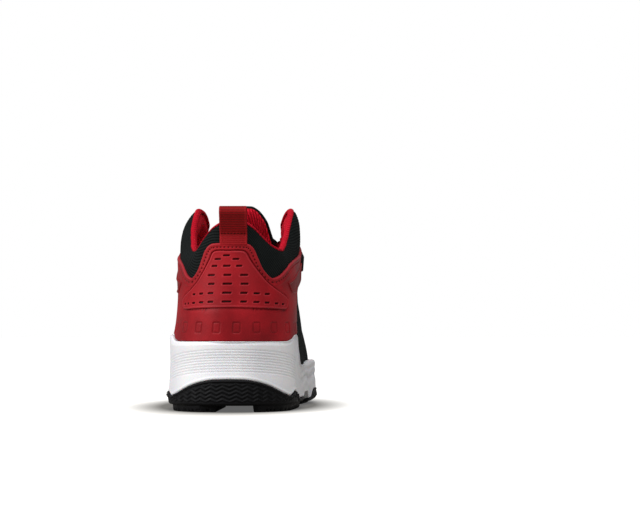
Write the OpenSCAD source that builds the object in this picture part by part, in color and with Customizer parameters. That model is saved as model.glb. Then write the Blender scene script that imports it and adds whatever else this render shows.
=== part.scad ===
// Left basketball high top, built as separate pieces.
// Heel at -Y, toe at +Y, big-toe side at +X, ground at z = 0.

/* [Sole] */
// Length of the sole, heel to toe
sole_len = 300; // [285:1:315]
// Depth over which the heel of the sole rounds off
sole_heel_round = 52; // [44:1:60]
// Depth over which the toe of the sole rounds off
sole_toe_round = 80; // [70:1:90]
// Top of the midsole behind the heel
bite_rear = 47; // [44:0.5:50]
// Top of the rubber arch behind the heel
arch_top = 22; // [18:0.5:26]
// Height of the two heel pads under the heel slab
heel_pad_h = 4.4; // [3:0.1:5]
// Height of the forefoot pads under the forefoot slab
fore_pad_h = 2; // [1.5:0.1:3]
// Thickness of the rubber slabs
rubber_t = 2.6; // [2:0.1:3.2]
// Rise of the sole at the toe tip
toe_spring = 12; // [8:0.5:16]

/* [Upper] */
// Depth over which the heel of the upper rounds off
heel_depth = 50; // [44:1:56]
// Length of a quarter turn around the heel
heel_arc = 70.4; // [64:0.2:76]
// Squareness of the cross-sections, 2 is an ellipse
squareness = 2.4; // [2.1:0.1:2.8]
// Height of the collar at the back of the heel
collar_rear = 127; // [120:1:132]
// Height of the collar's front ears
ear_top = 140.5; // [136:0.5:143]
// Shift of the ankle's top towards the big-toe side
ankle_lean = 3.7; // [0:0.1:5]
// How strongly the collar rolls inwards at its edge
collar_roll = 1; // [0:0.1:1.2]
// Thickness of the outer textile
textile_t = 1.2; // [1:0.1:1.5]
// Thickness of the moulded overlays
overlay_t = 1.5; // [1.2:0.1:1.8]
// Greatest thickness of the ankle padding
pad_t = 6; // [4:0.5:7]

/* [Tongue] */
// Depth of the tongue's top behind the toe, from the heel
tongue_top = 138; // [137:1:144]
// Depth of the tongue's seam
tongue_seam = 214; // [212:1:216]
// Thickness of the tongue's foam
tongue_foam_t = 4.3; // [3:0.1:5]

/* [Pull loop and lacing] */
// Width of the pull loop's webbing
loop_w = 18.5; // [15:0.5:20]
// Top of the pull loop
loop_top = 138; // [136:0.5:140]
// Height of the line where the pull loop is sewn down
loop_pivot_z = 121; // [120.5:0.1:121.5]
// Thickness of one layer of webbing
webbing_t = 1.1; // [0.9:0.1:1.3]
// Number of lace rows
lace_rows = 5; // [4:1:5]
// Width of the flat lace
lace_w = 6; // [5:0.5:7]
// Thickness of the flat lace
lace_t = 1.3; // [1:0.1:1.4]

/* [Hidden] */

medial = 1;
lateral = -1;
clear = 0.2;          // gap between neighbouring layers
step = 0.5;           // step of the numerical slopes

// Half-widths of the sole and of the upper, by depth from the heel
sole_medial = [[50, 43.6], [80, 45.5], [110, 46.5], [140, 47], [170, 48.5], [200, 50.5], [225, 50.5],
    [255, 46.5], [sole_len, 38]];
sole_lateral = [[50, 45.1], [80, 47.2], [110, 48.3], [140, 49.8], [170, 53], [200, 56.5], [225, 57.5],
    [255, 54.5], [sole_len, 46]];
upper_medial = [[50, 41], [80, 42.5], [110, 43.5], [140, 43.5], [170, 43.7], [200, 45.2], [225, 44.8],
    [250, 41.5], [sole_len - 8, 34]];
upper_lateral = [[50, 41], [80, 42], [110, 43], [140, 44], [170, 47.5], [200, 52], [225, 53], [250, 49.5],
    [sole_len - 8, 42]];
upper_end = sole_len - 8;
upper_toe_round = 70;
sole_end_power = 2.2;

// Foot bed, instep ridge above it, waist and rear curve of the upper
bed_line = [[0, 30], [60, 29.5], [110, 27], [150, 23.5], [200, 20], [250, 20.5], [upper_end, 26]];
ridge_line = [[50, 390], [80, 290], [100, 222], [115, 169], [135, 128.5], [160, 98.5], [190, 75], [215, 60],
    [240, 49], [265, 42], [upper_end, 40]];
ridge_toe_round = 42;
waist_line = [[40, 1.01], [50, 0.99], [62, 0.955], [80, 0.935], [95, 0.955], [105, 0.985], [120, 1.03],
    [145, 1.04]];
lean_line = [[46, 0.1], [56, 0.32], [80, 0.46], [105, 0.34], [113, 0.4], [121, 0.48], [127, 0.6], [138, 1]];
roll_lateral = [[4, 0], [20, 0.19], [45, 0.24], [75, 0.19], [110, 0.13], [122, 0.11], [145, 0]];
roll_medial = [[15, 0], [41, 0.15], [110, 0.13], [122, 0.11], [145, 0]];
rear_line = [[40, 3], [60, 2], [75, 3], [90, 5], [105, 7.2], [118, 7.8], [127, 6.8], [140, 6]];
toe_shift_line = [[190, 0], [230, 1.5], [sole_len, 7]];

// Edges of the pieces. The ones around the ankle go by length around the heel.
bite_line = [[0, bite_rear], [46, bite_rear], [53, bite_rear + 1.2], [60, bite_rear + 4], [74, bite_rear + 4.2],
    [80, bite_rear + 1], [87, 38], [94, 32.5], [104, 30.5], [125, 30], [150, 30], [190, 31.2],
    [225, 32.5], [260, 31.5], [sole_len + 20, 35]];
collar_line = [[0, collar_rear], [7, collar_rear], [11.5, collar_rear - 2], [15.5, collar_rear - 4.3],
    [20, collar_rear - 8], [25, collar_rear - 11.8], [31, collar_rear - 15.5], [40, collar_rear - 18],
    [55, collar_rear - 17.5], [80, collar_rear - 8], [105, ear_top - 5], [118, ear_top - 0.7],
    [126, ear_top - 0.2], [134, ear_top - 1.2], [142, ear_top - 4], [150, ear_top - 8], [160, ear_top - 13.5]];
overlay_line = [[0, 113.4], [10, 113.4], [14.4, 112.5], [18.4, 109], [21.8, 103], [25.5, 96.5], [30.7, 91.5],
    [34.5, 90], [41, 91.8], [49, 96], [60, 100.5], [86, 105], [115, 110], [135, 115], [152, 122]];
overlay_low_line = [[0, bite_rear + 0.3], [46, bite_rear + 0.3], [53, bite_rear + 1.5], [60, bite_rear + 4.3],
    [70, bite_rear + 4.8], [75, 54], [79, 62], [83, 71.5], [87, 77.5], [92, 81.5], [98, 84.5], [104, 87]];
panel_top_line = [[0, 108], [9, 108], [12, 106.5], [14.5, 102], [18, 97], [22.5, 91.5], [27, 87], [33, 83],
    [39, 79.8], [43, 78], [46, 75.5]];
panel_low_line = [[0, 69.7], [30, 69.2], [41, 68.8], [44, 69.8], [46, 72.5]];
panel_skew = 2.4;     // how far the panel's top sits to the little-toe side
panel_reach = 1.08;   // length of the panel's big-toe side against the other one
overlay_skew = 2;     // how far the overlay's top sits to the same side
eyestay_low_line = [[104, 87], [130, 89], [155, 93], [175, 92], [190, 84], [210, 71], [234, 61]];
throat_line = [[140, 30], [150, 24.5], [170, 18], [195, 13.5], [tongue_seam, 10]];
counter_line = [[0, 88], [20, 86], [40, 76], [74, 52]];
tongue_line = [[tongue_top, 5], [tongue_top + 1, 11], [tongue_top + 4, 20], [tongue_top + 8, 26],
    [tongue_top + 15, 28.5], [170, 26.5], [190, 21], [tongue_seam, 16]];
arch_line = [[0, arch_top], [12, arch_top - 0.6], [25, arch_top - 3.6], [38, arch_top - 8.4], [47, 10.9],
    [52, 10.7], [58, 12.8], [62, 13.6], [68, 11.5], [80, 8.5], [95, 7.2]];

throat_from = 140;    // depth where the collar ends and the throat begins
wrap_end = heel_arc + tongue_seam - 1 - heel_depth;
ear_arc = heel_arc + throat_from - heel_depth;
overlay_end = 104;    // half-length of the heel overlay around the heel
panel_end = 46;       // half-length of the heel panel around the heel
loop_pivot_y = 5.6;   // depth of the pull loop's sewn line
fore_start = 163;     // depth where the forefoot rubber begins
heel_end = 112;       // depth where the heel rubber ends
arch_z = 10;          // height of the sole's underside at the arch
centre_x = 2.5;       // puts the whole box on the origin
roll_h = 26;          // height over which the collar rolls in
rim_rise = 4.5;       // extra height of the forefoot rubber's rim at the ball
loop_x = 2.2;         // middle of the pull loop
ring_n = 64;

// ---- smooth curves through a few points ----
function span(p, t, i = 0) = i >= len(p) - 2 || t < p[i + 1].x ? i : span(p, t, i + 1);
function slope(p, i) =
    let (a = p[max(i - 1, 0)], b = p[min(i + 1, len(p) - 1)])
    (b.y - a.y) / (b.x - a.x);
function curve(p, t) =
    let (
        i = span(p, t),
        h = p[i + 1].x - p[i].x,
        u = min(max((t - p[i].x) / h, 0), 1)
    )
    (2 * u ^ 3 - 3 * u ^ 2 + 1) * p[i].y + (u ^ 3 - 2 * u ^ 2 + u) * slope(p, i) * h
    + (3 * u ^ 2 - 2 * u ^ 3) * p[i + 1].y + (u ^ 3 - u ^ 2) * slope(p, i + 1) * h;
function smooth(a, b, t) =
    let (u = min(max((t - a) / (b - a), 0), 1))
    u * u * (3 - 2 * u);
function mix(a, b, u) = a + (b - a) * u;
function unit(v) = v / norm(v);
// 0 at the tip, 1 from a depth of round inwards
function closing(depth, round_depth, power) =
    (1 - (1 - min(max(depth / round_depth, 0), 1)) ^ power) ^ (1 / power);

// ---- the upper's base surface ----
function bed(t) = curve(bed_line, t);
function ridge(t) = curve(ridge_line, t) * closing(upper_end - t, ridge_toe_round, sole_end_power);
function upper_half(side, t) =
    curve(side > 0 ? upper_medial : upper_lateral, t) * closing(upper_end - t, upper_toe_round, sole_end_power);
function collar_top(t) = curve(collar_line, arc_at(t));
function roll(side, z, t) =
    collar_roll * curve(side > 0 ? roll_medial : roll_lateral, t)
    * min(max((z - collar_top(t)) / roll_h + 1, 0), 1.1) ^ 2;
function waist(side, z, t) = mix(curve(waist_line, z), 1, smooth(130, 180, t)) * (1 - roll(side, z, t));
function lean(z, t) = ankle_lean * curve(lean_line, z) * (1 - smooth(150, 200, t));
function skin(side, round, t, phi) =
    let (
        z = bed(t) + ridge(t) * sin(phi) ^ (2 / squareness),
        out = round * upper_half(side, t) * waist(side, z, t) * cos(phi) ^ (2 / squareness)
    )
    [
        side * out + lean(z, t) + curve(toe_shift_line, t),
        t + curve(rear_line, z) * max(1 - t / heel_depth, 0),
        z
    ];
function turn(s) = min(abs(s) / heel_arc, 1) * 90;
function depth_of(s) = heel_depth * (1 - cos(turn(s))) + max(abs(s) - heel_arc, 0);
function wrap(s, phi) = skin(s < 0 ? lateral : medial, sin(turn(s)), depth_of(s), phi);
function over(t, phi) = phi <= 90 ? skin(medial, 1, t, phi) : skin(lateral, 1, t, 180 - phi);
function on(kind, u, v) = kind == "wrap" ? wrap(u, v) : over(u, v);
function normal(kind, u, v) =
    unit(cross(
        on(kind, u + step, v) - on(kind, u - step, v),
        on(kind, u, min(v + step, 179.9)) - on(kind, u, max(v - step, 0.1))
    ));
function lifted(kind, u, v, off) = on(kind, u, v) + off * normal(kind, u, v);
// Angle up the cross-section of a height, and of a distance from the middle
function at_height(t, z) =
    asin(min(max((z - bed(t)) / ridge(t), 0.0001), 0.9999) ^ (squareness / 2));
function at_width(side, t, x) = acos(min(x / upper_half(side, t), 0.9999) ^ (squareness / 2));
function up_wrap(s, z) = at_height(depth_of(s), z);
function collar_edge(s) =
    let (t = depth_of(s))
    t < throat_from
    ? up_wrap(s, mix(curve(collar_line, abs(s)),
        skin(medial, 1, throat_from, at_width(medial, throat_from, throat_line[0].y)).z,
        smooth(throat_from - 10, throat_from, t)))
    : at_width(s < 0 ? lateral : medial, t, curve(throat_line, t));
// How thick the ankle padding is at a height
function padding(s, z) =
    let (
        top = curve(collar_line, abs(s)),
        u = min(max((z - 62) / (top - 62), 0), 1)
    )
    pad_t * sin(180 * u) ^ 0.6 * (1 - smooth(96, 118, depth_of(s)));
foam_share = 0.5;
function lining_out(s, z) = -(textile_t + overlay_t + 3 * clear + padding(s, z));

// ---- solids from grids ----
function quad(a, b, c, d) = [[a, b, c], [a, c, d]];
function grid_faces(nu, nv) =
    let (
        w = nv + 1,
        k = (nu + 1) * w
    )
    [
        for (i = [0 : nu - 1], j = [0 : nv - 1]) let (a = i * w + j)
            each quad(a, a + 1, a + w + 1, a + w),
        for (i = [0 : nu - 1], j = [0 : nv - 1]) let (a = k + i * w + j)
            each quad(a, a + w, a + w + 1, a + 1),
        for (i = [0 : nu - 1]) let (a = i * w) each quad(a, a + w, k + a + w, k + a),
        for (i = [0 : nu - 1]) let (a = i * w + nv) each quad(a, k + a, k + a + w, a + w),
        for (j = [0 : nv - 1]) let (a = j) each quad(a, k + a, k + a + 1, a + 1),
        for (j = [0 : nv - 1]) let (a = nu * w + j) each quad(a, a + 1, k + a + 1, k + a)
    ];
function to_frame(p) = [p.x + centre_x, p.y - sole_len / 2, p.z];

// A layer of the upper between two offsets, from edge low(u) to edge high(u)
module layer(kind, u0, u1, nu, nv, low, high, outer, inner) {
    pts = [
        for (off = [outer, inner], i = [0 : nu], j = [0 : nv])
            let (
                u = mix(u0, u1, i / nu),
                v = mix(low(u), high(u), j / nv),
                z = on(kind, u, v).z
            )
            to_frame(lifted(kind, u, v, off(u, z)))
    ];
    polyhedron(pts, grid_faces(nu, nv));
}
function flat(off) = function (u, z) off;

// ---- solids from rings around the foot ----
function ring_t(i, t0, t1) = mix(t0, t1, (1 - cos(360 * i / ring_n)) / 2);
function ring_side(i) = i <= ring_n / 2 ? medial : lateral;
function sole_half(side, t) =
    curve(side > 0 ? sole_medial : sole_lateral, t) * closing(t, sole_heel_round, sole_end_power)
    * closing(sole_len - t, sole_toe_round, sole_end_power);
// Outline of the sole between two depths, with rounded cut ends
function sole_ring(t0, t1, height) = [
    for (i = [0 : ring_n - 1])
        let (
            t = ring_t(i, t0, t1),
            cut = (t0 > 0 ? closing(t - t0, 12, 3) : 1) * (t1 < sole_len ? closing(t1 - t, 12, 3) : 1)
        )
        [ring_side(i) * cut * sole_half(ring_side(i), t) + curve(toe_shift_line, t), t, height(t)]
];
// Outline of the upper at a height that goes by depth
function upper_ring(t0, t1, height) = [
    for (i = [0 : ring_n - 1])
        let (
            t = ring_t(i, t0, t1),
            end = max(1 - t / heel_depth, 0),
            cut = (t0 > 0 ? closing(t - t0, 12, 3) : 1) * (t1 < upper_end ? closing(t1 - t, 12, 3) : 1)
        )
        skin(ring_side(i), cut * sqrt(1 - end * end), t, at_height(t, height(t)))
];
function spread(ring, d) = [
    for (i = [0 : len(ring) - 1])
        let (
            v = ring[(i + 1) % len(ring)] - ring[(i + len(ring) - 1) % len(ring)],
            w = unit([v.y, -v.x, 0])
        )
        ring[i] + d * w
];
function raised(ring, height) = [for (p = ring) [p.x, p.y, height(p.y)]];
function ladder(n, base, up) = [
    for (i = [0 : n / 2 - 1])
        let (a = base + i, b = base + i + 1, c = base + n - i - 1, d = base + (n - i) % n)
        each (i == 0 ? [up ? [a, c, b] : [a, b, c]]
            : i == n / 2 - 1 ? [up ? [a, d, b] : [a, b, d]]
            : up ? quad(a, d, c, b) : quad(a, b, c, d))
];
// Rings from the underside, up the outside and, for a cup, down the inside
module stack(rings) {
    n = len(rings[0]);
    last = (len(rings) - 1) * n;
    polyhedron(
        [for (r = rings, p = r) to_frame(p)],
        [
            each ladder(n, 0, false),
            for (k = [0 : len(rings) - 2], i = [0 : n - 1])
                let (a = k * n + i, b = k * n + (i + 1) % n)
                each quad(a, a + n, b + n, b),
            each ladder(n, last, true)
        ]
    );
}

// ---- sole ----
function spring(t) = toe_spring * max((t - 250) / (sole_len - 250), 0) ^ 2;
function heel_slab(t) = heel_pad_h;
function fore_slab(t) = fore_pad_h + spring(t);
function fore_rim(t) =
    fore_slab(t) + rubber_t + 0.1 + smooth(176, 200, t) * (1.8 + rim_rise * (1 - smooth(232, 280, t)));
function midsole_low(t) =
    mix(
        mix(heel_pad_h + rubber_t, arch_z, smooth(heel_end - 2, heel_end + 8, t)),
        fore_pad_h + rubber_t + spring(t),
        smooth(fore_start - 8, fore_start + 2, t)
    ) + 0.05;
// Height on the outside where the rubber ends and the midsole's wall begins
function arc_at(t) =
    t < heel_depth ? heel_arc * acos(1 - max(t, 0) / heel_depth) / 90 : heel_arc + t - heel_depth;
function bite(t) = curve(bite_line, arc_at(t));
function wall_edge(t) = mix(max(curve(arch_line, arc_at(t)) + 0.4, midsole_low(t) + 1),
    max(midsole_low(t) + 0.4, fore_rim(t) + 0.5), smooth(100, 130, t));

module outsole_heel() {
    outer = sole_ring(0, heel_end, function (t) heel_slab(t));
    top = function (t) max(curve(arch_line, arc_at(t)) - 0.1, heel_pad_h + rubber_t + 0.2);
    color([0.08, 0.08, 0.09])
    union() {
        stack([
            spread(outer, -2.4),
            raised(spread(outer, 0), function (t) heel_pad_h + 1.6),
            raised(spread(outer, 0.6), function (t) heel_pad_h + 2.6),
            raised(spread(outer, 0.3), top),
            raised(spread(outer, -1.9), top),
            raised(spread(outer, -2), function (t) heel_pad_h + rubber_t)
        ]);
        heel_pad(medial, 6, 15.5);
        heel_pad(lateral, 6, 9);
    }
}
// One ground pad of the heel, from a stretch of the outline to the middle channel
module heel_pad(side, t0, channel) {
    pad_t1 = heel_end - 6;
    ts = [for (i = [0 : 12]) mix(t0, pad_t1, (1 - cos(180 * i / 12)) / 2)];
    edge = [for (t = ts) to_frame([side * (sole_half(side, t) - 3), t, 0])];
    inner = [to_frame([side * channel, pad_t1, 0]), to_frame([side * channel, t0, 0])];
    linear_extrude(heel_pad_h + 0.6) polygon([for (p = concat(edge, inner)) [p.x, p.y]]);
}

module outsole_forefoot() {
    outer = sole_ring(fore_start, sole_len, function (t) fore_slab(t));
    color([0.08, 0.08, 0.09])
    union() {
        stack([
            spread(outer, -3.5),
            raised(spread(outer, -0.2), function (t) fore_slab(t) + 1.4),
            raised(spread(outer, 0.2), function (t) fore_slab(t) + 2.6),
            raised(spread(outer, 0.3), function (t) fore_rim(t)),
            raised(spread(outer, -1.9), function (t) fore_rim(t)),
            raised(spread(outer, -2), function (t) fore_slab(t) + rubber_t)
        ]);
        for (side = [lateral, medial]) fore_pad(side);
    }
}
module fore_pad(side) {
    t0 = fore_start + 8;
    t1 = 248;
    ts = [for (i = [0 : 8]) mix(t0, t1, i / 8)];
    edge = [for (t = ts) to_frame([side * (sole_half(side, t) - 6), t, 0])];
    inner = [to_frame([side * 3, t1, 0]), to_frame([side * 3, t0, 0])];
    linear_extrude(fore_pad_h + 0.6) polygon([for (p = concat(edge, inner)) [p.x, p.y]]);
}

shank_mid = 135.5;    // depth of the plate's middle
module shank_plate() {
    length = 28;
    width = 46;
    round = 6;
    color([0.16, 0.16, 0.18])
    translate([centre_x, shank_mid - sole_len / 2, arch_z - 1.9])
    linear_extrude(1.8)
    union() {
        square([width, length - 2 * round], center = true);
        square([width - 2 * round, length], center = true);
        for (x = [-1, 1], y = [-1, 1])
            translate([x * (width / 2 - round), y * (length / 2 - round)]) circle(round, $fn = 48);
    }
}

module midsole() {
    low = sole_ring(0, sole_len, function (t) midsole_low(t));
    bed_out = raised(upper_ring(0, upper_end, function (t) bed(t) - 0.5), function (t) bed(t) - 0.8);
    cup = spread(upper_ring(0, upper_end, function (t) bite(t)), 2.5 * clear);
    halfway = function (t) mix(bed(t), bite(t), 0.5);
    bulge = spread(upper_ring(0, upper_end, halfway), 3.5 * clear);
    wall = function (share) function (t) mix(wall_edge(t), bite(t), share);
    color([0.93, 0.93, 0.95])
    stack([
        spread(low, -2.4),
        raised(spread(low, -2.4), function (t) wall_edge(t)),
        raised(spread(low, -0.2), function (t) wall_edge(t)),
        raised(spread(low, -0.8), wall(0.35)),
        raised(spread(low, -0.6), wall(0.7)),
        raised(spread(low, -1.2), wall(0.95)),
        raised(spread(cup, overlay_t + 0.4), function (t) bite(t)),
        raised(cup, function (t) bite(t) - 0.2),
        raised(bulge, halfway),
        spread(bed_out, 2.5 * clear)
    ]);
}

module strobel_board() {
    ring = spread(upper_ring(0, upper_end, function (t) bed(t) + 0.3), -(textile_t + clear));
    color([0.9, 0.88, 0.82])
    stack([raised(ring, function (t) bed(t) - 0.3), raised(ring, function (t) bed(t) + 1)]);
}

function cushion_h(t) = 3 * (1 - smooth(70, 96, t));
module heel_cushion() {
    ring = [
        for (i = [0 : ring_n - 1])
            let (t = ring_t(i, 14, 86))
            [ring_side(i) * 27 * closing(t - 14, 30, sole_end_power) * closing(86 - t, 18, sole_end_power), t, 0]
    ];
    color([0.95, 0.62, 0.2])
    stack([raised(ring, function (t) bed(t) + 1.2), raised(ring, function (t) bed(t) + 1.1 + cushion_h(t))]);
}

module sockliner() {
    ring = spread(upper_ring(0, upper_end - 6, function (t) bed(t) + 4), -6.2);
    color([0.1, 0.1, 0.11])
    stack([
        raised(ring, function (t) bed(t) + 1.3 + cushion_h(t)),
        raised(ring, function (t) bed(t) + 4.3 + cushion_h(t))
    ]);
}

// ---- toe ----
function toe_low(t, z) = max(at_height(t, z), 1);
module dome(t0, t1, nt, low_z, outer, inner) {
    u = function (t) toe_low(t, low_z(t));
    layer("over", t0, t1, nt, 16, u, function (t) 180 - u(t), flat(outer), flat(inner));
}
module vamp() {
    color([0.13, 0.13, 0.14])
    dome(tongue_seam, upper_end - 1, 14, function (t) bed(t) - 0.2, 0, -textile_t);
}
module vamp_lining() {
    color([0.75, 0.1, 0.16])
    dome(tongue_seam, upper_end - 7, 10, function (t) bed(t) + 1.6, -3.1, -3.9);
}
module toe_puff() {
    color([0.85, 0.85, 0.8])
    dome(264, upper_end - 4, 8, function (t) bed(t) + 1.6, -1.9, -2.7);
}
module toe_cap() {
    color([0.1, 0.1, 0.11])
    dome(266, upper_end - 1, 8, function (t) bite(t) + 0.4, 1.4, clear);
}

// ---- ankle and sides ----
module quarter(side) {
    color([0.13, 0.13, 0.14])
    layer("wrap", side < 0 ? -wrap_end : 0.15, side < 0 ? -0.15 : wrap_end, 36, 9,
        function (s) up_wrap(s, bed(depth_of(s)) - 0.2), function (s) collar_edge(s),
        flat(0), flat(-textile_t));
}
module heel_counter() {
    color([0.88, 0.87, 0.82])
    layer("wrap", -74, 74, 24, 4,
        function (s) up_wrap(s, bed(depth_of(s)) + 1.5), function (s) up_wrap(s, curve(counter_line, abs(s))),
        flat(-textile_t - clear), flat(-textile_t - clear - overlay_t));
}
module collar_foam() {
    color([0.9, 0.8, 0.4])
    layer("wrap", -110, 110, 36, 5,
        function (s) up_wrap(s, 70), function (s) up_wrap(s, curve(collar_line, abs(s)) - 4),
        flat(-textile_t - overlay_t - 2 * clear),
        function (s, z) -(textile_t + overlay_t + 3 * clear + foam_share * padding(s, z)));
}
lining_drop = 0.35;   // angle by which the lining stops short of the collar's edge
module collar_lining() {
    color([0.84, 0.1, 0.2])
    layer("wrap", -wrap_end, wrap_end, 58, 9,
        function (s) up_wrap(s, bed(depth_of(s)) + 1.4), function (s) collar_edge(s) - lining_drop,
        function (s, z) lining_out(s, z) - 0.35, function (s, z) lining_out(s, z) - 0.35 - textile_t);
}
module collar_binding() {
    profile = [[0.2, 1], [0.4, 1.7], [-1, 2.8], [-3.4, 2.8], [-4.7, 1.7], [-4.4, 1]];
    n = len(profile);
    m = 60;
    rings = [
        for (i = [0 : m])
            let (
                s = mix(-ear_arc, ear_arc, i / m),
                v = collar_edge(s),
                up = unit(wrap(s, v + step) - wrap(s, v)),
                out = normal("wrap", s, v)
            )
            [for (q = profile) to_frame(wrap(s, v) + q.x * out + q.y * up)]
    ];
    color([0.8, 0.12, 0.2]) swept(rings);
}

module heel_overlay() {
    color([0.65, 0.14, 0.16])
    layer("wrap", -overlay_end, overlay_end, 60, 6,
        function (s) up_wrap(s, curve(overlay_low_line, abs(s))), function (s) up_wrap(s, overlay_top(s)),
        flat(overlay_t + 0.2), flat(0.2));
}
// Both top lines lean to one side, and are true at both ends. The panel reaches further on the big-toe side.
function overlay_top(s) = curve(overlay_line, abs(s + overlay_skew * (1 - smooth(18, 60, abs(s)))));
function panel_place(s) = s > 0 ? s / panel_reach : s;
function panel_top(s) =
    let (u = panel_place(s))
    curve(panel_top_line, abs(u + panel_skew * (1 - (u / panel_end) ^ 2)));
module heel_panel() {
    color([0.7, 0.16, 0.18])
    layer("wrap", -panel_end, panel_end * panel_reach, 36, 5,
        function (s) up_wrap(s, curve(panel_low_line, abs(panel_place(s)))),
        function (s) up_wrap(s, panel_top(s)),
        flat(overlay_t + 1.3), flat(overlay_t + 0.1 + clear));
}
function eyestay_top(s) = min(up_wrap(s, curve(overlay_line, abs(s))), collar_edge(s) - 1);
module eyestay(side) {
    from = overlay_end + 0.4;
    color([0.65, 0.14, 0.16])
    layer("wrap", side < 0 ? -wrap_end : from, side < 0 ? -from : wrap_end, 28, 5,
        function (s) up_wrap(s, curve(eyestay_low_line, abs(s))),
        function (s) abs(s) < 152 ? eyestay_top(s) : collar_edge(s) - 1,
        flat(overlay_t + 0.5), flat(0.5));
}
module side_band(side) {
    top = [[50, 87.6], [86, 96], [120, 103]];
    low = [[50, 86.4], [58, 80.4], [86, 84], [120, 90]];
    color([0.6, 0.12, 0.14])
    layer("wrap", side < 0 ? -120 : 50, side < 0 ? -50 : 120, 14, 3,
        function (s) up_wrap(s, curve(low, abs(s))), function (s) up_wrap(s, curve(top, abs(s))),
        flat(overlay_t + 1.5), flat(overlay_t + 0.6));
}
strap_line = [[123, 96.5], [140, 100], [163, 109]];
module lace_strap(side) {
    color([0.07, 0.07, 0.08])
    layer("wrap", side < 0 ? -163 : 123, side < 0 ? -123 : 163, 12, 3,
        function (s) up_wrap(s, curve(strap_line, abs(s))), function (s) up_wrap(s, curve(strap_line, abs(s)) + 11.5),
        flat(overlay_t + 2.6), flat(overlay_t + 0.6));
}

// ---- lacing ----
module swept(rings) {
    n = len(rings[0]);
    last = (len(rings) - 1) * n;
    polyhedron(
        [for (r = rings, p = r) p],
        [
            for (j = [1 : n - 2]) [0, j + 1, j],
            for (k = [0 : len(rings) - 2], j = [0 : n - 1])
                let (a = k * n + j, b = k * n + (j + 1) % n)
                each quad(a, b, b + n, a + n),
            for (j = [1 : n - 2]) [last, last + j, last + j + 1]
        ]
    );
}
function row_t(i) = 163 + i * 44 / (lace_rows - 1);
// A place over the throat: depth, share of the way from the middle to the edge, height over the skin
function over_throat(t, share, lift) =
    let (
        side = share < 0 ? lateral : medial,
        x = max(abs(share) * curve(throat_line, t), 0.3),
        v = at_width(side, t, x)
    )
    lifted("over", t, side > 0 ? v : 180 - v, lift);
// The same place with the direction straight out of the skin there
function seat(t, share, lift) =
    let (p = over_throat(t, share, lift))
    [p, unit(over_throat(t, share, lift + 1) - p)];
// Where the webbing loops end, as a share of the throat's half-width
loop_reach = 0.95;
loop_lift = 4.75;
lace_dip = 3;
function lace_stop(i, side, along) = seat(row_t(i) + along, side * loop_reach, loop_lift);
// One run from a loop to the loop a row further down on the other side
function lace_run(i, side, high) = [
    lace_stop(i, side, 2.9),
    for (k = [1 : 5])
        seat(mix(row_t(i) + 4, row_t(i + 1) - 4, k / 6), side * loop_reach * mix(1, -1, k / 6),
            loop_lift + ((high ? 1.4 : -1.1) - lace_dip) * sin(30 * k)),
    lace_stop(i + 1, -side, -2.9)
];
function down_side(first) = [
    for (i = [0 : lace_rows - 2]) each lace_run(i, i % 2 == 0 ? first : -first, first > 0)
];
function reverse(list) = [for (i = [len(list) - 1 : -1 : 0]) list[i]];
// The end of the lace is tucked flat under the crossings, on the tongue
function tucked(side) = [
    for (k = [0 : 4]) seat(row_t(0) + 26 - k * 6, side * 0.32, -3.2),
    seat(row_t(0) - 3.5, side * 0.4, -1.5),
    seat(row_t(0) - 5.5, side * 0.72, 2.6),
    lace_stop(0, side, -3.4)
];
// The side on which the first run reaches the last row
lace_turn = lace_rows % 2 == 0 ? 1 : -1;
lace_path = concat(
    tucked(lateral), down_side(lateral),
    [for (k = [0 : 4])
        seat(row_t(lace_rows - 1) + 5, lace_turn * loop_reach * mix(1, -1, k / 4),
            loop_lift - 1.5 * sin(45 * k))],
    reverse(down_side(medial)), reverse(tucked(medial))
);
function flat_ring(path, i, w, h) =
    let (
        a = path[max(i - 1, 0)][0],
        b = path[min(i + 1, len(path) - 1)][0],
        along = unit(b - a),
        side = unit(cross(along, path[i][1])),
        up = cross(side, along)
    )
    [for (k = [0 : 7]) let (q = 45 * k + 22.5)
        to_frame(path[i][0] + side * w / 2 * sign(cos(q)) * abs(cos(q)) ^ 0.6 - up * h / 2 * sin(q))];
module lace() {
    color([0.07, 0.07, 0.08])
    swept([for (i = [0 : len(lace_path) - 1]) flat_ring(lace_path, i, lace_w, lace_t)]);
}
module lace_tips() {
    n = len(lace_path);
    color([0.15, 0.15, 0.16])
    for (end = [[lace_path[0], lace_path[1]], [lace_path[n - 1], lace_path[n - 2]]]) {
        dir = unit(end[0][0] - end[1][0]);
        path = [for (d = [0.2, 9, 17]) [end[0][0] + dir * d, end[0][1]]];
        swept([for (i = [0 : 2]) flat_ring(path, i, 2.8, 2)]);
    }
}
lace_loop_w = 3.8;    // width of one loop's webbing
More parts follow.
